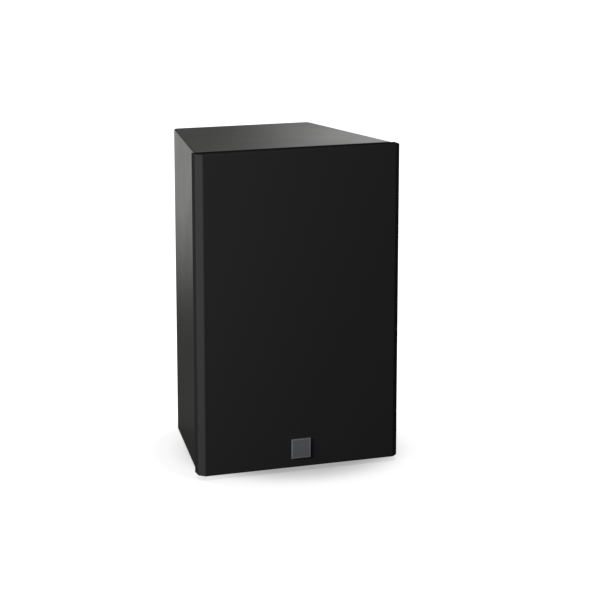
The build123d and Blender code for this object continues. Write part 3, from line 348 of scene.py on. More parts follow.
def between(tree, factor, dark, light):
    """A colour between two, each of them three numbers or an output. The node takes them as its inputs 6
    and 7 once it mixes colours, and gives the mix as its output 2."""
    mixer = add(tree, "Mix", factor, data_type="RGBA")
    give(tree, mixer.inputs[6], dark)
    give(tree, mixer.inputs[7], light)
    return mixer.outputs[2]


def tint(tree, surface, factor, dark, light):
    """Lets a pattern from 0 to 1 lead the surface's colour from dark to light."""
    feed(tree, surface, Base_Color=between(tree, factor, dark, light))


def shine(tree, surface, pattern, sharpest, dullest, low=0.3, high=0.7):
    """Lets a pattern lead the roughness between two values. Most noise stays within 0.3 to 0.7."""
    feed(tree, surface, Roughness=reach(tree, pattern, low, high, sharpest, dullest))


def relief(tree, surface, height, depth, strength=1.0):
    """Turns a height from 0 to 1 into relief that is depth millimetres deep."""
    bump = add(tree, "Bump", Height=height, Distance=depth * MM, Strength=strength)
    feed(tree, surface, Normal=bump.outputs[0])


print("finish helpers ready")

# %% [markdown]
# ## Lacquer and board
# The cabinet is fibreboard under a black lacquer with a soft shine. Sprayed lacquer is never a perfect
# mirror: it dries with a faint orange peel a few millimetres across, and its shine changes a little from
# place to place. The baffle behind the grille only gets a matt coat. Inside, the board is left bare, and
# its fibres show as a fine brown fleck.

# %% Cabinet finishes
def lacquer_finish():
    """Satin black lacquer with a faint orange peel."""
    tree, surface = new_finish("lacquer", "satin_lacquer", 0.30)
    feed(tree, surface, Specular_Tint=(1.0, 0.985, 0.925))
    place = place_on_object(tree)
    cloud = grain(tree, place, 45.0)
    speck = grain(tree, place, 0.7)
    tone = math_of(tree, "MULTIPLY", cloud, speck)
    tint(tree, surface, tone, (0.0040, 0.0040, 0.0036), (0.0062, 0.0061, 0.0055))
    shine(tree, surface, cloud, 0.285, 0.325)
    relief(tree, surface, grain(tree, place, 2.6, 1.0), 0.004)


def baffle_finish():
    """Matt black paint that lets the fibres of the board show through as a fine roughness."""
    tree, surface = new_finish("baffle_paint", "matt_baffle_paint", 0.62, gloss=0.22)
    place = place_on_object(tree)
    fleck = grain(tree, place, 0.6, 4.0)
    tint(tree, surface, fleck, (0.0085, 0.0085, 0.0085), (0.0165, 0.0160, 0.0155))
    shine(tree, surface, fleck, 0.55, 0.70)
    relief(tree, surface, fleck, 0.03)


def board_finish():
    """Bare fibreboard, brown with short pale and dark fibres."""
    tree, surface = new_finish("raw_board", "bare_fibreboard", 0.85, gloss=0.25)
    place = place_on_object(tree)
    fibres = grain(tree, place_on_object(tree, stretch=(1.0, 1.0, 5.0)), 1.4, 5.0)
    cloud = grain(tree, place, 18.0)
    fleck = math_of(tree, "ADD", math_of(tree, "MULTIPLY", cloud, 0.4), fibres)
    spread = reach(tree, fleck, 0.45, 0.95)
    tint(tree, surface, spread, (0.25, 0.165, 0.095), (0.50, 0.37, 0.24))
    relief(tree, surface, fibres, 0.08)


lacquer_finish()
baffle_finish()
board_finish()

# %% [markdown]
# ## Cloth
# The grille is dressed in a plain woven polyester with holes between its threads, so sound passes. At
# arm's length the weave only dulls the black and mottles it faintly. The spider is a cloth stiffened with
# resin, and the tweeter's dome is coated silk. A weave is two waves that cross, multiplied, so one helper
# makes all three, with relief to match.

# %% Cloth finishes
def weave(tree, place, pitch, first="X", second="Z"):
    """The height of a plain weave: threads a pitch apart, over and under each other along two axes."""
    axes = axes_of(tree, place)
    waves = [wave(tree, axes[axis], 2 * pitch) for axis in (first, second)]
    return reach(tree, math_of(tree, "MULTIPLY", *waves), -1.0, 1.0)


def grille_finish():
    """Black grille cloth: a fine plain weave with slightly uneven threads, with painted shade on the rear
    part of its sides, top and bottom.
    """
    tree, surface = new_finish("grille_cloth", "black_grille_cloth", 0.92, gloss=0.0)
    place = place_on_object(tree)
    pitch = 0.55
    both = math_of(tree, "ADD", weave(tree, place, pitch), weave(tree, place, pitch, "Y", "Z"))
    uneven = grain(tree, place, 1.1, 2.0)
    cloud = grain(tree, place, 38.0, 2.0)
    spread = math_of(tree, "ADD", math_of(tree, "MULTIPLY", uneven, 0.45),
                     math_of(tree, "MULTIPLY", reach(tree, both, 0.2, 1.8), 0.35))
    colour = between(tree, spread, (0.0103, 0.0103, 0.0105), (0.0200, 0.0197, 0.0199))
    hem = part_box("grille_cloth")[1].y / MM  # the cloth's back edge; painted shade darkens the cloth within about ten millimetres of it
    painted_shade_from, painted_shade_full = hem - 11.2, hem - 9.8
    painted_side_shade = reach(tree, axes_of(tree, place)["Y"], painted_shade_from, painted_shade_full)
    # painted shade: the cloth turns darker towards its back edge
    tint(tree, surface, painted_side_shade, colour, (0.0072, 0.0072, 0.0073))
    shine(tree, surface, cloud, 0.86, 0.96)
    relief(tree, surface, both, 0.04, 0.4)


def spider_finish():
    """Resin-stiffened cotton in a pale amber."""
    tree, surface = new_finish("spider_cloth", "spider_cotton", 0.78, gloss=0.3)
    place = place_on_object(tree)
    threads = weave(tree, place, 0.8)
    cloud = grain(tree, place, 9.0)
    tone = math_of(tree, "MULTIPLY", threads, cloud)
    tint(tree, surface, tone, (0.30, 0.19, 0.065), (0.62, 0.44, 0.20))
    relief(tree, surface, threads, 0.12, 0.7)


def dome_finish():
    """Silk under a black damping coat, which leaves the weave showing a little."""
    tree, surface = new_finish("dome_silk", "coated_silk", 0.48)
    place = place_on_object(tree)
    threads = weave(tree, place, 0.4)
    cloud = grain(tree, place, 3.0)
    tint(tree, surface, cloud, (0.008, 0.008, 0.009), (0.020, 0.020, 0.021))
    shine(tree, surface, cloud, 0.42, 0.56)
    relief(tree, surface, threads, 0.04, 0.5)


grille_finish()
spider_finish()
dome_finish()

# %% [markdown]
# ## Paper and wadding
# The woofer's cone is pressed paper pulp, and the pads inside the box are loose polyester wadding. Both are
# felts, whose fibres lie every way. Two noises that are stretched along different axes look like that when
# one multiplies the other.

# %% Paper and wadding finishes
def paper_finish():
    """Pressed pulp: short grey fibres in near black."""
    tree, surface = new_finish("cone_paper", "cone_pulp", 0.74, gloss=0.16)
    place = place_on_object(tree)
    fibres = grain(tree, place_on_object(tree, stretch=(1.0, 1.0, 3.0)), 1.1, 5.0)
    cross_fibres = grain(tree, place_on_object(tree, stretch=(3.0, 1.0, 1.0)), 1.1, 5.0)
    felt = math_of(tree, "MULTIPLY", fibres, cross_fibres)
    spread = reach(tree, felt, 0.15, 0.45)
    tint(tree, surface, spread, (0.012, 0.012, 0.012), (0.050, 0.049, 0.047))
    shine(tree, surface, grain(tree, place, 6.0), 0.66, 0.82)
    relief(tree, surface, felt, 0.12, 0.8)


def wadding_finish():
    """Loose polyester fibre, off-white with a random tone, and painted shade in the hollows of its relief.
    """
    tree, surface = new_finish("wadding", "wadding", 0.95, gloss=0.1)
    feed(tree, surface, Sheen_Weight=0.2)
    place = place_on_object(tree)
    tufts = grain(tree, place, 6.0, 3.0)
    strands = grain(tree, place_on_object(tree, stretch=(1.0, 1.0, 3.0)), 0.9, 6.0)
    cross_strands = grain(tree, place_on_object(tree, stretch=(1.0, 3.0, 1.0)), 0.9, 6.0)
    felt = math_of(tree, "MULTIPLY", strands, cross_strands)
    # painted shade: the felt that sinks the relief also darkens the colour, on top of the tufts' random tone
    tone = math_of(tree, "ADD", math_of(tree, "MULTIPLY", tufts, 0.5), felt)
    tint(tree, surface, reach(tree, tone, 0.3, 0.75), (0.58, 0.58, 0.56), (0.83, 0.83, 0.81))
    relief(tree, surface, felt, 0.35, 0.8)


paper_finish()
wadding_finish()

# %% [markdown]
# ## Rubber and plastic
# Moulded parts copy the texture of their mould. A speaker's plastic plates have a fine spark-eroded
# grain, its rubber is smoother and greyer, and the clear-coated caps of the binding posts are coloured
# right through. The differences are in the roughness and the size of the grain.

# %% Rubber and plastic finishes
def moulded_finish(slot, name, dark, light, roughness, cell, depth, coat=0.0, gloss=0.5):
    """A moulded part with a fine pebbled grain and slight changes of shine."""
    tree, surface = new_finish(slot, name, roughness, gloss=gloss)
    feed(tree, surface, Coat_Weight=coat, Coat_Roughness=0.12)
    place = place_on_object(tree)
    cells = add(tree, "TexVoronoi", place, Scale=1.0 / cell).outputs["Distance"]
    cloud = grain(tree, place, 12.0, 3.0)
    tint(tree, surface, cloud, dark, light)
    shine(tree, surface, cloud, roughness - 0.05, roughness + 0.05)
    relief(tree, surface, cells, depth, 0.8)


moulded_finish("black_plastic", "textured_black_plastic", (0.010, 0.010, 0.010), (0.018, 0.018, 0.018),
               roughness=0.48, cell=0.5, depth=0.03)
moulded_finish("foot_rubber", "foot_rubber", (0.014, 0.014, 0.015), (0.026, 0.026, 0.027),
               roughness=0.80, cell=0.35, depth=0.03, gloss=0.3)
moulded_finish("roll_rubber", "roll_rubber", (0.011, 0.011, 0.011), (0.019, 0.019, 0.019),
               roughness=0.52, cell=0.9, depth=0.006, gloss=0.4)
moulded_finish("red_plastic", "red_post_plastic", (0.42, 0.010, 0.008), (0.54, 0.018, 0.014),
               roughness=0.30, cell=1.5, depth=0.004, coat=0.5)
moulded_finish("dark_plastic", "black_post_plastic", (0.010, 0.010, 0.010), (0.018, 0.018, 0.019),
               roughness=0.28, cell=1.5, depth=0.004, coat=0.5)
moulded_finish("wire_jacket", "wire_jacket", (0.020, 0.020, 0.022), (0.034, 0.034, 0.036),
               roughness=0.45, cell=0.8, depth=0.006)

# %% [markdown]
# ## Turned and plated parts
# The motor's plates are zinc-plated steel, and the magnet between them is a dull grey ceramic. The posts'
# contacts are plated with gold, and the threaded inserts are brass. Such parts keep fine scratches round
# their axis, which spread their shine. Noise that is squeezed along the axis looks like those scratches,
# so one helper makes all of them.

# %% Turned and plated finishes
round_about = (1.0, 6.0, 1.0)  # lays scratches round an axis that runs from front to back


def metal_finish(slot, name, dark, light, roughness, scratch_stretch=round_about, depth=0.006,
                 metallic=1.0):
    """Metal with fine scratches one way and a cloudy shine."""
    tree, surface = new_finish(slot, name, roughness, metallic)
    place = place_on_object(tree)
    cloud = grain(tree, place, 14.0, 3.0)
    scratches = grain(tree, place_on_object(tree, stretch=scratch_stretch), 0.9, 3.0)
    tint(tree, surface, cloud, dark, light)
    mixed = math_of(tree, "MULTIPLY", cloud, scratches)
    shine(tree, surface, mixed, roughness - 0.07, roughness + 0.07, 0.1, 0.4)
    relief(tree, surface, scratches, depth, 0.6)


metal_finish("plated_steel", "zinc_plate", (0.50, 0.51, 0.52), (0.66, 0.66, 0.66), 0.34)
metal_finish("screw_black", "blackened_steel", (0.020, 0.020, 0.021), (0.045, 0.044, 0.043), 0.42,
             metallic=0.6)
metal_finish("gold", "gold_plate", (0.78, 0.50, 0.17), (0.94, 0.68, 0.30), 0.22)
metal_finish("insert_brass", "brass", (0.56, 0.38, 0.13), (0.76, 0.56, 0.24), 0.34)
metal_finish("former", "former_film", (0.33, 0.15, 0.035), (0.46, 0.23, 0.065), 0.40, metallic=0.0)
metal_finish("ferrite", "ferrite", (0.055, 0.055, 0.057), (0.105, 0.104, 0.103), 0.66,
             scratch_stretch=(1.0, 1.0, 1.0), depth=0.05, metallic=0.15)

# %% [markdown]
# ## Winding, casting and badge
# Three more metal parts each have a look of their own. The voice coils are copper wire wound turn against
# turn, so a wave along their axis gives the turns. The woofer's basket is die-cast and powder-coated,
# which leaves a fine lumpy skin. The badge is an anodised plate with a border round its field.

# %% Winding, casting and badge finishes
copper_tones = (0.36, 0.105, 0.040), (0.80, 0.31, 0.13)


def winding_finish():
    """Enamelled copper wire, wound turn against turn along the driver's axis."""
    tree, surface = new_finish("copper", "copper_winding", 0.30, 1.0)
    place = place_on_object(tree)
    wire_pitch = 0.7
    ridge = reach(tree, wave(tree, axes_of(tree, place)["Y"], wire_pitch), -1.0, 1.0)
    tint(tree, surface, ridge, *copper_tones)
    shine(tree, surface, grain(tree, place, 5.0), 0.24, 0.38)
    relief(tree, surface, ridge, 0.12, 0.8)


def casting_finish():
    """A powder-coated casting: dark grey with a fine orange-peel grain."""
    tree, surface = new_finish("cast_frame", "powder_coated_casting", 0.46, 0.25)
    place = place_on_object(tree)
    lumps = grain(tree, place, 0.8, 3.0)
    cloud = grain(tree, place, 16.0)
    tint(tree, surface, cloud, (0.020, 0.020, 0.021), (0.034, 0.034, 0.035))
    shine(tree, surface, lumps, 0.40, 0.54)
    relief(tree, surface, lumps, 0.04, 0.8)


def badge_finish():
    """Slate grey anodised plate, with its border a little brighter than its field."""
    tree, surface = new_finish("badge_metal", "slate_badge", 0.42, 0.35)
    badge_low, badge_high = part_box("badge")
    axes = axes_of(tree, place_on_object(tree, (badge_low + badge_high) / 2))
    across = math_of(tree, "ABSOLUTE", axes["X"])
    up = math_of(tree, "ABSOLUTE", axes["Z"])
    from_middle = math_of(tree, "MAXIMUM", across, up)
    half = (badge_high.x - badge_low.x) / 2 / MM
    border = 1.3  # millimetres in from the plate's edge
    on_border = reach(tree, from_middle, half - border, half - border + 0.1)
    brushed = grain(tree, place_on_object(tree, stretch=(1.0, 1.0, 8.0)), 1.2, 3.0)
    field = between(tree, brushed, (0.036, 0.038, 0.041), (0.048, 0.050, 0.054))
    tint(tree, surface, on_border, field, (0.074, 0.076, 0.080))
    shine(tree, surface, brushed, 0.36, 0.46)
    relief(tree, surface, brushed, 0.004, 0.6)


winding_finish()
casting_finish()
badge_finish()

# %% [markdown]
# ## The crossover's parts
# The circuit board is green solder mask over copper tracks, which show through as paler lanes. Film
# capacitors are wrapped in tape with poured ends, and power resistors are blocks of white cement. None of
# them carries any print here. The two coils are copper wire, whose turns follow each coil's own axis.

# %% Crossover finishes
def circuit_finish():
    """Solder mask over wide copper tracks."""
    tree, surface = new_finish("board_green", "solder_mask", 0.32)
    place = place_on_object(tree)
    lane_pitch = 14.0
    lanes = add(tree, "TexVoronoi", place, distance="CHEBYCHEV", Scale=1.0 / lane_pitch)
    edge = reach(tree, lanes.outputs["Distance"], 0.44, 0.50)
    cloud = grain(tree, place, 8.0)
    track = between(tree, cloud, (0.020, 0.115, 0.040), (0.026, 0.150, 0.052))
    tint(tree, surface, edge, track, (0.006, 0.045, 0.018))
    relief(tree, surface, edge, 0.05, 0.6)


def capacitor_finish():
    """Glossy tape wrapped round a film capacitor, with faint wrinkles."""
    tree, surface = new_finish("film", "capacitor_tape", 0.26)
    wrinkles = grain(tree, place_on_object(tree, stretch=(0.3, 1.0, 2.0)), 2.0, 3.0)
    tint(tree, surface, wrinkles, (0.46, 0.25, 0.030), (0.64, 0.38, 0.060))
    relief(tree, surface, wrinkles, 0.08, 0.6)


def cement_finish():
    """Cast white cement with pinholes."""
    tree, surface = new_finish("cement", "resistor_cement", 0.88, gloss=0.3)
    place = place_on_object(tree)
    pits = grain(tree, place, 0.5, 4.0)
    tint(tree, surface, reach(tree, pits, 0.3, 0.6), (0.42, 0.40, 0.37), (0.72, 0.71, 0.67))
    relief(tree, surface, pits, 0.10, 0.8)


def coil_finish(solid, wire_pitch=0.9):
    """Copper wire round an upright coil and a lying one, on each round its own axis."""
    tree, surface = new_finish("coil_wire", "coil_winding", 0.30, 1.0)
    corners = [v.co for v in solid.data.vertices]
    ridges = []
    for side, axis, across in ((-1, "Z", (1, 1, 0)), (1, "X", (0, 1, 1))):
        coil = [c for c in corners if c.x * side > 0]
        middle_of_coil = [(min(c[i] for c in coil) + max(c[i] for c in coil)) / 2 for i in range(3)]
        place = place_on_object(tree, middle_of_coil)
        flat = add(tree, "VectorMath", place, across, operation="MULTIPLY").outputs[0]
        radius = add(tree, "VectorMath", flat, operation="LENGTH").outputs["Value"]
        waves = [wave(tree, value, wire_pitch) for value in (axes_of(tree, place)[axis], radius)]
        ridges.append(reach(tree, math_of(tree, "ADD", *waves), -2.0, 2.0))
    on_right = math_of(tree, "GREATER_THAN", axes_of(tree, place_on_object(tree))["X"], 0.0)
    on_left = math_of(tree, "SUBTRACT", 1.0, on_right)
    shares = [math_of(tree, "MULTIPLY", *pair) for pair in zip(ridges, (on_left, on_right))]
    ridge = math_of(tree, "ADD", *shares)
    tint(tree, surface, ridge, *copper_tones)
    relief(tree, surface, ridge, 0.15, 0.8)


circuit_finish()
capacitor_finish()
cement_finish()

# %% [markdown]
# ## Dress the solids
# Most pieces of the solid model already have their true shape: screws, motor, port tube, terminals and
# crossover. They only need their finish. Each solid carries a material slot with the name of its finish,
# so one loop dresses them all.

# %% Give every solid its finish
dressed = 0
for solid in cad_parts.values():
    for slot in solid.material_slots:
        slot.material = finishes[slot.material.name.split(".")[0]]
        dressed += 1
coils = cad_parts["crossover_inductors"]
coil_finish(coils)
coils.material_slots[0].material = finishes["coil_wire"]  # their wire doesn't run round the drivers' axis
print("dressed", dressed, "slots on", len(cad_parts), "solids")

# %% [markdown]
# ## Shaping helpers
# New pieces are built with the same handful of operators a modeller uses by hand. These helpers finish a
# mesh: they mark its sharp edges, turn it into an object at the origin, and let it stand for its solid.

# %% Helpers for new pieces
def depth_at(depth):
    """The Y of a depth in millimetres, counted back from the cabinet's front plane."""
    return front_y + depth * MM


def shade(bm, sharp_above=32.0):
    """Smooth shading, broken at edges that turn by more than sharp_above degrees."""
    for face in bm.faces:
        face.smooth = True
    for edge in bm.edges:
        edge.smooth = edge.calc_face_angle(0.0) < math.radians(sharp_above)


def make_piece(name, bm, finish, body=None, stands_for=()):
    """Turns a bmesh into a finished object that rides on a body and replaces the solids it stands for."""
    mesh = bpy.data.meshes.new(name)
    bm.to_mesh(mesh)
    bm.free()
    mesh.materials.append(finishes[finish])
    piece = bpy.data.objects.new(name, mesh)
    bpy.context.scene.collection.objects.link(piece)
    if body:
        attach(piece, body)
    if stands_for:
        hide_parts(*stands_for)
    print(name, "has", len(mesh.polygons), "faces")
    return piece


def block(bm, low, high):
    """A box between two corners, in metres."""
    made = bmesh.ops.create_cube(bm, size=1.0)["verts"]
    low, high = Vector(low), Vector(high)
    bmesh.ops.scale(bm, vec=high - low, verts=made)
    bmesh.ops.translate(bm, vec=(low + high) / 2, verts=made)
    return made


def bevel(bm, edges, width, segments):
    """Takes edges off by a width. One segment gives a flat chamfer, and more of them a rounded edge."""
    bmesh.ops.bevel(
        bm, geom=edges, offset=width, offset_type="OFFSET", segments=segments, profile=0.5,
        affect="EDGES", material=-1, clamp_overlap=True,
    )


def soften(bm, edges, radius, segments):
    """Rounds edges to a radius, whatever the angle between their faces."""
    turn = max(edge.calc_face_angle() for edge in edges)
    bevel(bm, edges, radius * math.tan(turn / 2), segments)


def inset(bm, faces, width):
    """Draws a border of one width inside each face."""
    bmesh.ops.inset_individual(bm, faces=faces, thickness=width, use_even_offset=True)


def upright(edge):
    """True where an edge runs along Z."""
    along = edge.verts[1].co - edge.verts[0].co
    return abs(along.z) > 0.9 * along.length


flat_border = 0.25 * MM  # ends the rounded edges' shading just inside a flat face
print("shaping helpers ready")

# %% [markdown]
# ## The cabinet's wrap
# The top, bottom and two sides are separate boards on a real cabinet, but they are glued, filled and
# lacquered as one, so no joint shows. A cube pushed narrower at the back gives the taper, a large bevel
# rounds the two rear uprights and a small one eases every other edge. Then the front and back faces are
# inset to the openings and bridged through, which leaves one seamless tube of board.

# %% Cabinet wrap
side_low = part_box("cabinet_left_side")[0]
bottom_low, bottom_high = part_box("cabinet_bottom")
top_low, top_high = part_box("cabinet_top")
front_half, cabinet_back_y = -side_low.x, top_high.y
cabinet_depth = cabinet_back_y - front_y
wall = bottom_high.z - bottom_low.z
front_width, rear_width, plan_depth = 200.0, 145.0, 160.0  # the cabinet's plan, in millimetres
taper_per_metre = (front_width - rear_width) / 2 / plan_depth
rear_half = front_half - cabinet_depth * taper_per_metre
wall_across = wall * math.hypot(1.0, taper_per_metre)  # a leaning wall, measured straight across
inner_front_half, inner_rear_half = front_half - wall_across, rear_half - wall_across
upright_radius, edge_width, end_border, mouth_width = 5.0 * MM, 1.5 * MM, 2.0 * MM, 0.35 * MM
print("cabinet in mm: half width", round(front_half / MM, 2), "to", round(rear_half / MM, 2),
      "inside", round(inner_front_half / MM, 2), "to", round(inner_rear_half / MM, 2))


def cabinet_wrap():
    """The four outer boards as one lacquered tube, open at the front and the back."""
    bm = bmesh.new()
    block(bm, (-front_half, front_y, bottom_low.z), (front_half, cabinet_back_y, top_high.z))
    rear = [v for v in bm.verts if v.co.y > 0.0]
    bmesh.ops.scale(bm, vec=(rear_half / front_half, 1.0, 1.0), verts=rear)
    rear_uprights = [e for e in bm.edges if upright(e) and e.verts[0].co.y > 0.0]
    soften(bm, rear_uprights, upright_radius, 8)
    bevel(bm, [e for e in bm.edges if e.calc_face_angle() > math.radians(50)], edge_width, 5)
    panels = sorted(bm.faces, key=lambda f: f.calc_area(), reverse=True)[:6]
    inset(bm, panels, flat_border)
    ends = [f for f in panels if abs(f.normal.y) > 0.99]
    half_way_up = (bottom_high.z + top_low.z) / 2
    for face in ends:
        half = inner_front_half if face.normal.y < 0 else inner_rear_half
        inset(bm, [face], end_border)
        for vert in face.verts:
            vert.co.x = math.copysign(half, vert.co.x)
            vert.co.z = bottom_high.z if vert.co.z < half_way_up else top_low.z
    bmesh.ops.delete(bm, geom=ends, context="FACES_ONLY")
    rims = [e for e in bm.edges if e.is_boundary]
    tunnel = bmesh.ops.bridge_loops(bm, edges=rims)["faces"]
    bmesh.ops.recalc_face_normals(bm, faces=bm.faces)
    mouth = {e for f in tunnel for e in f.edges if abs(e.verts[0].co.y - e.verts[1].co.y) < 1e-6}
    bevel(bm, list(mouth), mouth_width, 2)
    shade(bm)
    return bm


make_piece(
    "cabinet_wrap", cabinet_wrap(), "lacquer", "cabinet",
    ("cabinet_top", "cabinet_bottom", "cabinet_left_side", "cabinet_right_side"),
)

# %% [markdown]
# ## The grille's cloth
# The cloth is cut larger than the frame, pulled tight over it and glued behind. What shows is a taut,
# flat face whose upright edges are planed off at 45 degrees, and corners that the cloth rounds off a
# little. A cube with two edges bevelled in one step, then all of them softly, has that shape. Its back is
# taken off, and the thickness of the cloth is grown inwards.

# %% Grille cloth
cloth_low, cloth_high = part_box("grille_cloth")
cloth_thickness, chamfer, soft_edge = 0.8 * MM, 5.5 * MM, 0.7 * MM


def grille_cover():
    """Taut cloth over the frame's front and sides, open at the back."""
    bm = bmesh.new()
    block(bm, cloth_low, cloth_high)
    front_uprights = [e for e in bm.edges if upright(e) and e.verts[0].co.y < cloth_low.y + 1e-6]
    bevel(bm, front_uprights, chamfer, 1)
    back = [f for f in bm.faces if f.normal.y > 0.99]
    bmesh.ops.delete(bm, geom=back, context="FACES")
    bevel(bm, [e for e in bm.edges if not e.is_boundary], soft_edge, 3)
    large = [f for f in bm.faces if f.calc_area() > 1000 * MM**2]
    inset(bm, large, flat_border)
    bmesh.ops.recalc_face_normals(bm, faces=bm.faces)
    outside = list(bm.faces)
    if sum(f.normal.y * f.calc_area() for f in outside) > 0:
        bmesh.ops.reverse_faces(bm, faces=outside)
    bmesh.ops.solidify(bm, geom=outside, thickness=cloth_thickness)
    shade(bm, 40.0)
    return bm


cloth = make_piece("grille_cover", grille_cover(), "grille_cloth", "grille", ("grille_cloth",))

# %% [markdown]
# ## The badge
# A small plate is glued to the grille, low in the middle. It is left bare. The plate is a thin slab whose
# front edges are chamfered, with a narrow raised border round a sunk field. Two insets make the border,
# and pushing the inner face back sinks the field.

# %% Badge
badge_low, badge_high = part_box("badge")
rim_width, border_width, field_depth = 0.45 * MM, 0.9 * MM, 0.18 * MM


def bare_badge():
    """A chamfered square plate with a raised border and nothing on its field."""
    bm = bmesh.new()
    block(bm, badge_low, badge_high)
    face = min(bm.faces, key=lambda f: f.calc_center_median().y)
    bevel(bm, list(face.edges), rim_width, 3)
    field = max((f for f in bm.faces if f.normal.y < -0.99), key=lambda f: f.calc_area())
    inset(bm, [field], border_width)
    inset(bm, [field], field_depth)
    bmesh.ops.translate(bm, vec=(0.0, field_depth, 0.0), verts=field.verts)
    bmesh.ops.recalc_face_normals(bm, faces=bm.faces)
    shade(bm, 40.0)
    return bm


make_piece("bare_badge", bare_badge(), "badge_metal", "grille", ("badge",))

# %% [markdown]
# ## Wadding inside
# Two mats of loose polyester fibre hang on each side wall, one below the brace and one above it, and
# soak up the sound inside the box. A mat lies flat on the wall and puffs up on its free side, except
# where a staple holds it down. It starts as a slab with rounded edges that is divided into a grid. Then
# each point is moved by the crown, the staples and a little noise, and last the slab is laid on its wall.

# %% Wadding
brace_low, brace_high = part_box("window_brace")
mat_gap, mat_edge, drawn_in = 1.0 * MM, 3.5 * MM, 3.0 * MM
staples = [(across, up) for across in (-0.55, 0.55) for up in (-0.6, 0.0, 0.6)]
staple_reach, staple_bite = 0.17, 0.62  # how far a staple pulls the mat down, and how much
rim_share = 0.60  # of the thickness at the middle
large_tuft, small_tuft = 9 * MM, 3.5 * MM
grid_cuts = 27


def lift_off_wall(across, up, where):
    """How much of a mat's thickness is left at a place, from -1 to 1 across it and up it."""
    crown = rim_share + (1 - rim_share) * (1 - across**4) * (1 - up**4)
    held = 0.0
    for staple_across, staple_up in staples:
        apart = math.hypot(across - staple_across, up - staple_up)
        held = max(held, math.exp(-((apart / staple_reach) ** 2)))
    tufts = 0.07 * noise.noise(where / large_tuft) + 0.04 * noise.noise(where / small_tuft)
    return min(1.0, crown * (1 - staple_bite * held) * (0.92 + tufts))


def wadding_mats(node, side):
    """The lower and the upper mat on one side wall."""
    pad_low, pad_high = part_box(node)
    thickness = (inner_front_half - (pad_low.y - front_y) * taper_per_metre
                 - min(abs(pad_low.x), abs(pad_high.x)) - (pad_high.y - pad_low.y) * taper_per_metre)
    bm = bmesh.new()
    for bottom, top in ((pad_low.z, brace_low.z - mat_gap), (brace_high.z + mat_gap, pad_high.z)):
        slab = block(bm, (0.0, pad_low.y, bottom), (thickness, pad_high.y, top))
        bevel(bm, list({e for v in slab for e in v.link_edges}), mat_edge, 3)
        long_edges = [e for e in bm.edges if e.calc_length() > 20 * MM]
        bmesh.ops.subdivide_edges(bm, edges=long_edges, cuts=grid_cuts, use_grid_fill=True)
        middle_y, half_y = (pad_low.y + pad_high.y) / 2, (pad_high.y - pad_low.y) / 2
        middle_z, half_z = (bottom + top) / 2, (top - bottom) / 2
        for vert in bm.verts:
            if not bottom <= vert.co.z <= top:
                continue
            across, up = (vert.co.y - middle_y) / half_y, (vert.co.z - middle_z) / half_z
            off_wall = vert.co.x / thickness
            vert.co.x *= lift_off_wall(across, up, vert.co)
            vert.co.y -= across * off_wall * (1 - up * up) * drawn_in
            vert.co.z -= up * off_wall * (1 - across * across) * drawn_in
    for vert in bm.verts:
        wall_x = inner_front_half - (vert.co.y - front_y) * taper_per_metre
        vert.co.x = side * (wall_x - vert.co.x)
    bm.normal_update()  # one side's mats were turned inside out by that, which their old normals don't show
    bmesh.ops.recalc_face_normals(bm, faces=bm.faces)
    print(node, "is", round(thickness / MM, 2), "mm thick off its wall")
    shade(bm, 180.0)
    return bm


for name, node, side in (
    ("left_wadding", "left_damping_pad", -1),
    ("right_wadding", "right_damping_pad", 1),
):
    mats = make_piece(name, wadding_mats(node, side), "wadding", "cabinet", (node,))

# %% [markdown]
# ## Parts that flex
# Three rings let the diaphragms move: the woofer's half-roll surround and corrugated spider, and the small
# roll round the tweeter's dome. Each is glued still at its outer rim and moves with the diaphragm at its
# inner one. A ring like that is a section spun round the driver's axis. The section's arcs are themselves
# a point spun round the middle of the roll, and the blend between still and moving runs across the roll.

# %% Helpers for spun rings
merge_within = 0.002 * MM  # points closer than this become one


def line_through(bm, points):
    """Straight edges through points of a section."""
    corners = [bm.verts.new(p) for p in points]
    for first, second in zip(corners, corners[1:]):
        bm.edges.new((first, second))


def swing(bm, start, pivot, degrees, steps):
    """An arc of a section: its start turned about a pivot."""
    first = bm.verts.new(start)
    bmesh.ops.spin(bm, geom=[first], cent=pivot, axis=(0, 0, 1), angle=math.radians(degrees),
                   steps=steps, use_duplicate=False)


def spin_round(bm, axis_height, steps):
    """Closes a section and spins it once round a driver's axis."""
    bmesh.ops.remove_doubles(bm, verts=bm.verts, dist=merge_within)
    section = list(bm.verts) + list(bm.edges)
    bmesh.ops.spin(bm, geom=section, cent=(0.0, 0.0, axis_height), axis=(0, 1, 0), angle=2 * math.pi,
                   steps=steps, use_merge=True, use_duplicate=False)
    bmesh.ops.remove_doubles(bm, verts=bm.verts, dist=merge_within)
    bmesh.ops.recalc_face_normals(bm, faces=bm.faces)
    shade(bm, 50.0)
    return bm


def flex(piece, moving_body, axis_height, still_radius, moving_radius):
    """Lets a ring follow the cabinet outside one radius and the diaphragm inside the other."""
    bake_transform(piece, "cabinet", moving_body, start=(still_radius, 0.0, axis_height),
             end=(moving_radius, 0.0, axis_height))
    for vert, weight in zip(piece.data.vertices, piece.data.attributes["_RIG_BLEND"].data):
        radius = math.hypot(vert.co.x, vert.co.z - axis_height)
        share = min(1.0, max(0.0, (still_radius - radius) / (still_radius - moving_radius)))
        weight.value = share * share * (3 - 2 * share)  # level at both rims, so neither shows a kink


def height_of(node):
    """The height of a solid's middle."""
    low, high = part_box(node)
    return (low.z + high.z) / 2


woofer_axis, tweeter_axis = height_of("woofer_cone"), height_of("tweeter_dome")
print("driver axes at", round(woofer_axis / MM, 1), "and", round(tweeter_axis / MM, 1), "mm")


def section_about(axis_height):
    """Gives a function for the points of a section, from a radius and a depth in millimetres."""
    def at(radius, depth):
        return Vector((radius * MM, depth_at(depth), axis_height))
    return at

# %% [markdown]
# ## The woofer's surround
# The surround is a half-roll of moulded rubber between the cone's edge and the basket's rim, with a flap on
# each side for the glue. Its section is two arcs about one middle, a sheet's thickness apart, closed by
# straight lines round each flap. Only the roll bends, so the blend runs across it.

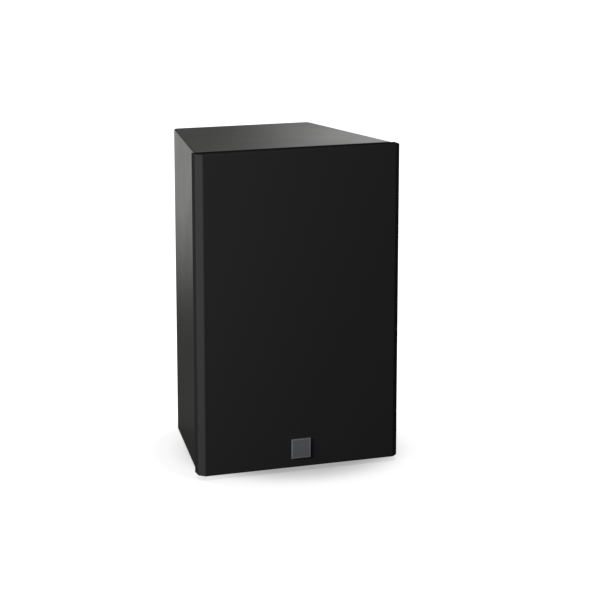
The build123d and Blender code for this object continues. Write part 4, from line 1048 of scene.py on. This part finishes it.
# %% Half-roll surround
def surround_ring():
    """Half-roll rubber surround with its two glue flaps."""
    bm, at = bmesh.new(), section_about(woofer_axis)
    seat, sheet, middle_r, roll_r, flap_in, flap_out = 3.0, 0.8, 53.5, 4.0, 47.0, 61.9
    inner_r, outer_r = roll_r - sheet / 2, roll_r + sheet / 2
    lift = math.asin(sheet / outer_r)
    foot = outer_r * math.cos(lift)
    swing(bm, at(middle_r - inner_r, seat), at(middle_r, seat), 180, 20)
    swing(bm, at(middle_r - foot, seat - sheet), at(middle_r, seat), 180 - 2 * math.degrees(lift), 20)
    line_through(bm, [at(middle_r + inner_r, seat), at(flap_out, seat), at(flap_out, seat - sheet),
                      at(middle_r + foot, seat - sheet)])
    line_through(bm, [at(middle_r - foot, seat - sheet), at(flap_in, seat - sheet), at(flap_in, seat),
                      at(middle_r - inner_r, seat)])
    return spin_round(bm, woofer_axis, steps=128)


surround = make_piece("half_roll_surround", surround_ring(), "roll_rubber",
                      stands_for=("woofer_surround",))
flex(surround, "woofer_diaphragm", woofer_axis, still_radius=57.8 * MM, moving_radius=49.3 * MM)

# %% [markdown]
# ## The spider
# The spider keeps the voice coil in the middle of its gap and springs the cone back. It is a disc of cloth
# that is pressed into ring-shaped waves. Each wave is an arc that is swung over or under the flat of the
# disc, once for each face, and two short lines close the section at the hole and at the rim.

# %% Corrugated spider
wave_start, wave_end = 19.1, 37.4  # the radii between which the spider is corrugated


def spider_ring():
    """Corrugated cloth disc between the voice coil and the basket's ledge."""
    bm, at = bmesh.new(), section_about(woofer_axis)
    seat, sheet, hole_r, rim_r = 27.0, 0.6, 16.2, 45.0
    waves, wave_height = 5, 1.0
    width = (wave_end - wave_start) / waves
    arc_r = (width**2 / 4 + wave_height**2) / (2 * wave_height)
    half_turn = math.degrees(math.asin(width / 2 / arc_r))
    for face in (seat - sheet, seat):
        line_through(bm, [at(hole_r, face), at(wave_start, face)])
        for index in range(waves):
            side = 1 if index % 2 == 0 else -1
            inner = wave_start + index * width
            pivot = at(inner + width / 2, face - side * (arc_r - wave_height))
            swing(bm, at(inner, face), pivot, -side * 2 * half_turn, 8)
        line_through(bm, [at(wave_end, face), at(rim_r, face)])
    for radius in (hole_r, rim_r):
        line_through(bm, [at(radius, seat - sheet), at(radius, seat)])
    return spin_round(bm, woofer_axis, steps=96)


spider = make_piece("corrugated_spider", spider_ring(), "spider_cloth", stands_for=("woofer_spider",))
flex(spider, "woofer_diaphragm", woofer_axis, still_radius=wave_end * MM, moving_radius=wave_start * MM)

# %% [markdown]
# ## The tweeter's roll
# The dome hangs in a roll of its own coated silk, only a few millimetres wide, and the roll ends in a flat
# rim that is glued down. It is made as the surround is, from two arcs about one middle.

# %% Small half-roll
def tweeter_roll_ring():
    """The small half-roll round the dome, with its glued rim."""
    bm, at = bmesh.new(), section_about(tweeter_axis)
    seat, sheet, roll_in, roll_out, rim = 4.5, 0.5, 12.3, 16.8, 19.0
    middle_r, outer_r = (roll_in + roll_out) / 2, (roll_out - roll_in) / 2
    lift = math.asin(sheet / outer_r)
    foot = outer_r * math.cos(lift)
    swing(bm, at(roll_in, seat), at(middle_r, seat), 180 - math.degrees(lift), 16)
    swing(bm, at(roll_in + sheet, seat), at(middle_r, seat), 180, 16)
    line_through(bm, [at(roll_in, seat), at(roll_in + sheet, seat)])
    line_through(bm, [at(middle_r + foot, seat - sheet), at(rim, seat - sheet), at(rim, seat),
                      at(roll_out - sheet, seat)])
    return spin_round(bm, tweeter_axis, steps=96)


small_roll = make_piece("tweeter_half_roll", tweeter_roll_ring(), "dome_silk",
                        stands_for=("tweeter_roll",))
flex(small_roll, "tweeter_diaphragm", tweeter_axis, still_radius=16.6 * MM, moving_radius=12.6 * MM)

# %% [markdown]
# ## Finish
# The last step prints the solid model's box, in millimetres.

print("solids  ", [round(v / MM, 2) for v in (*cad_low, *cad_high)])
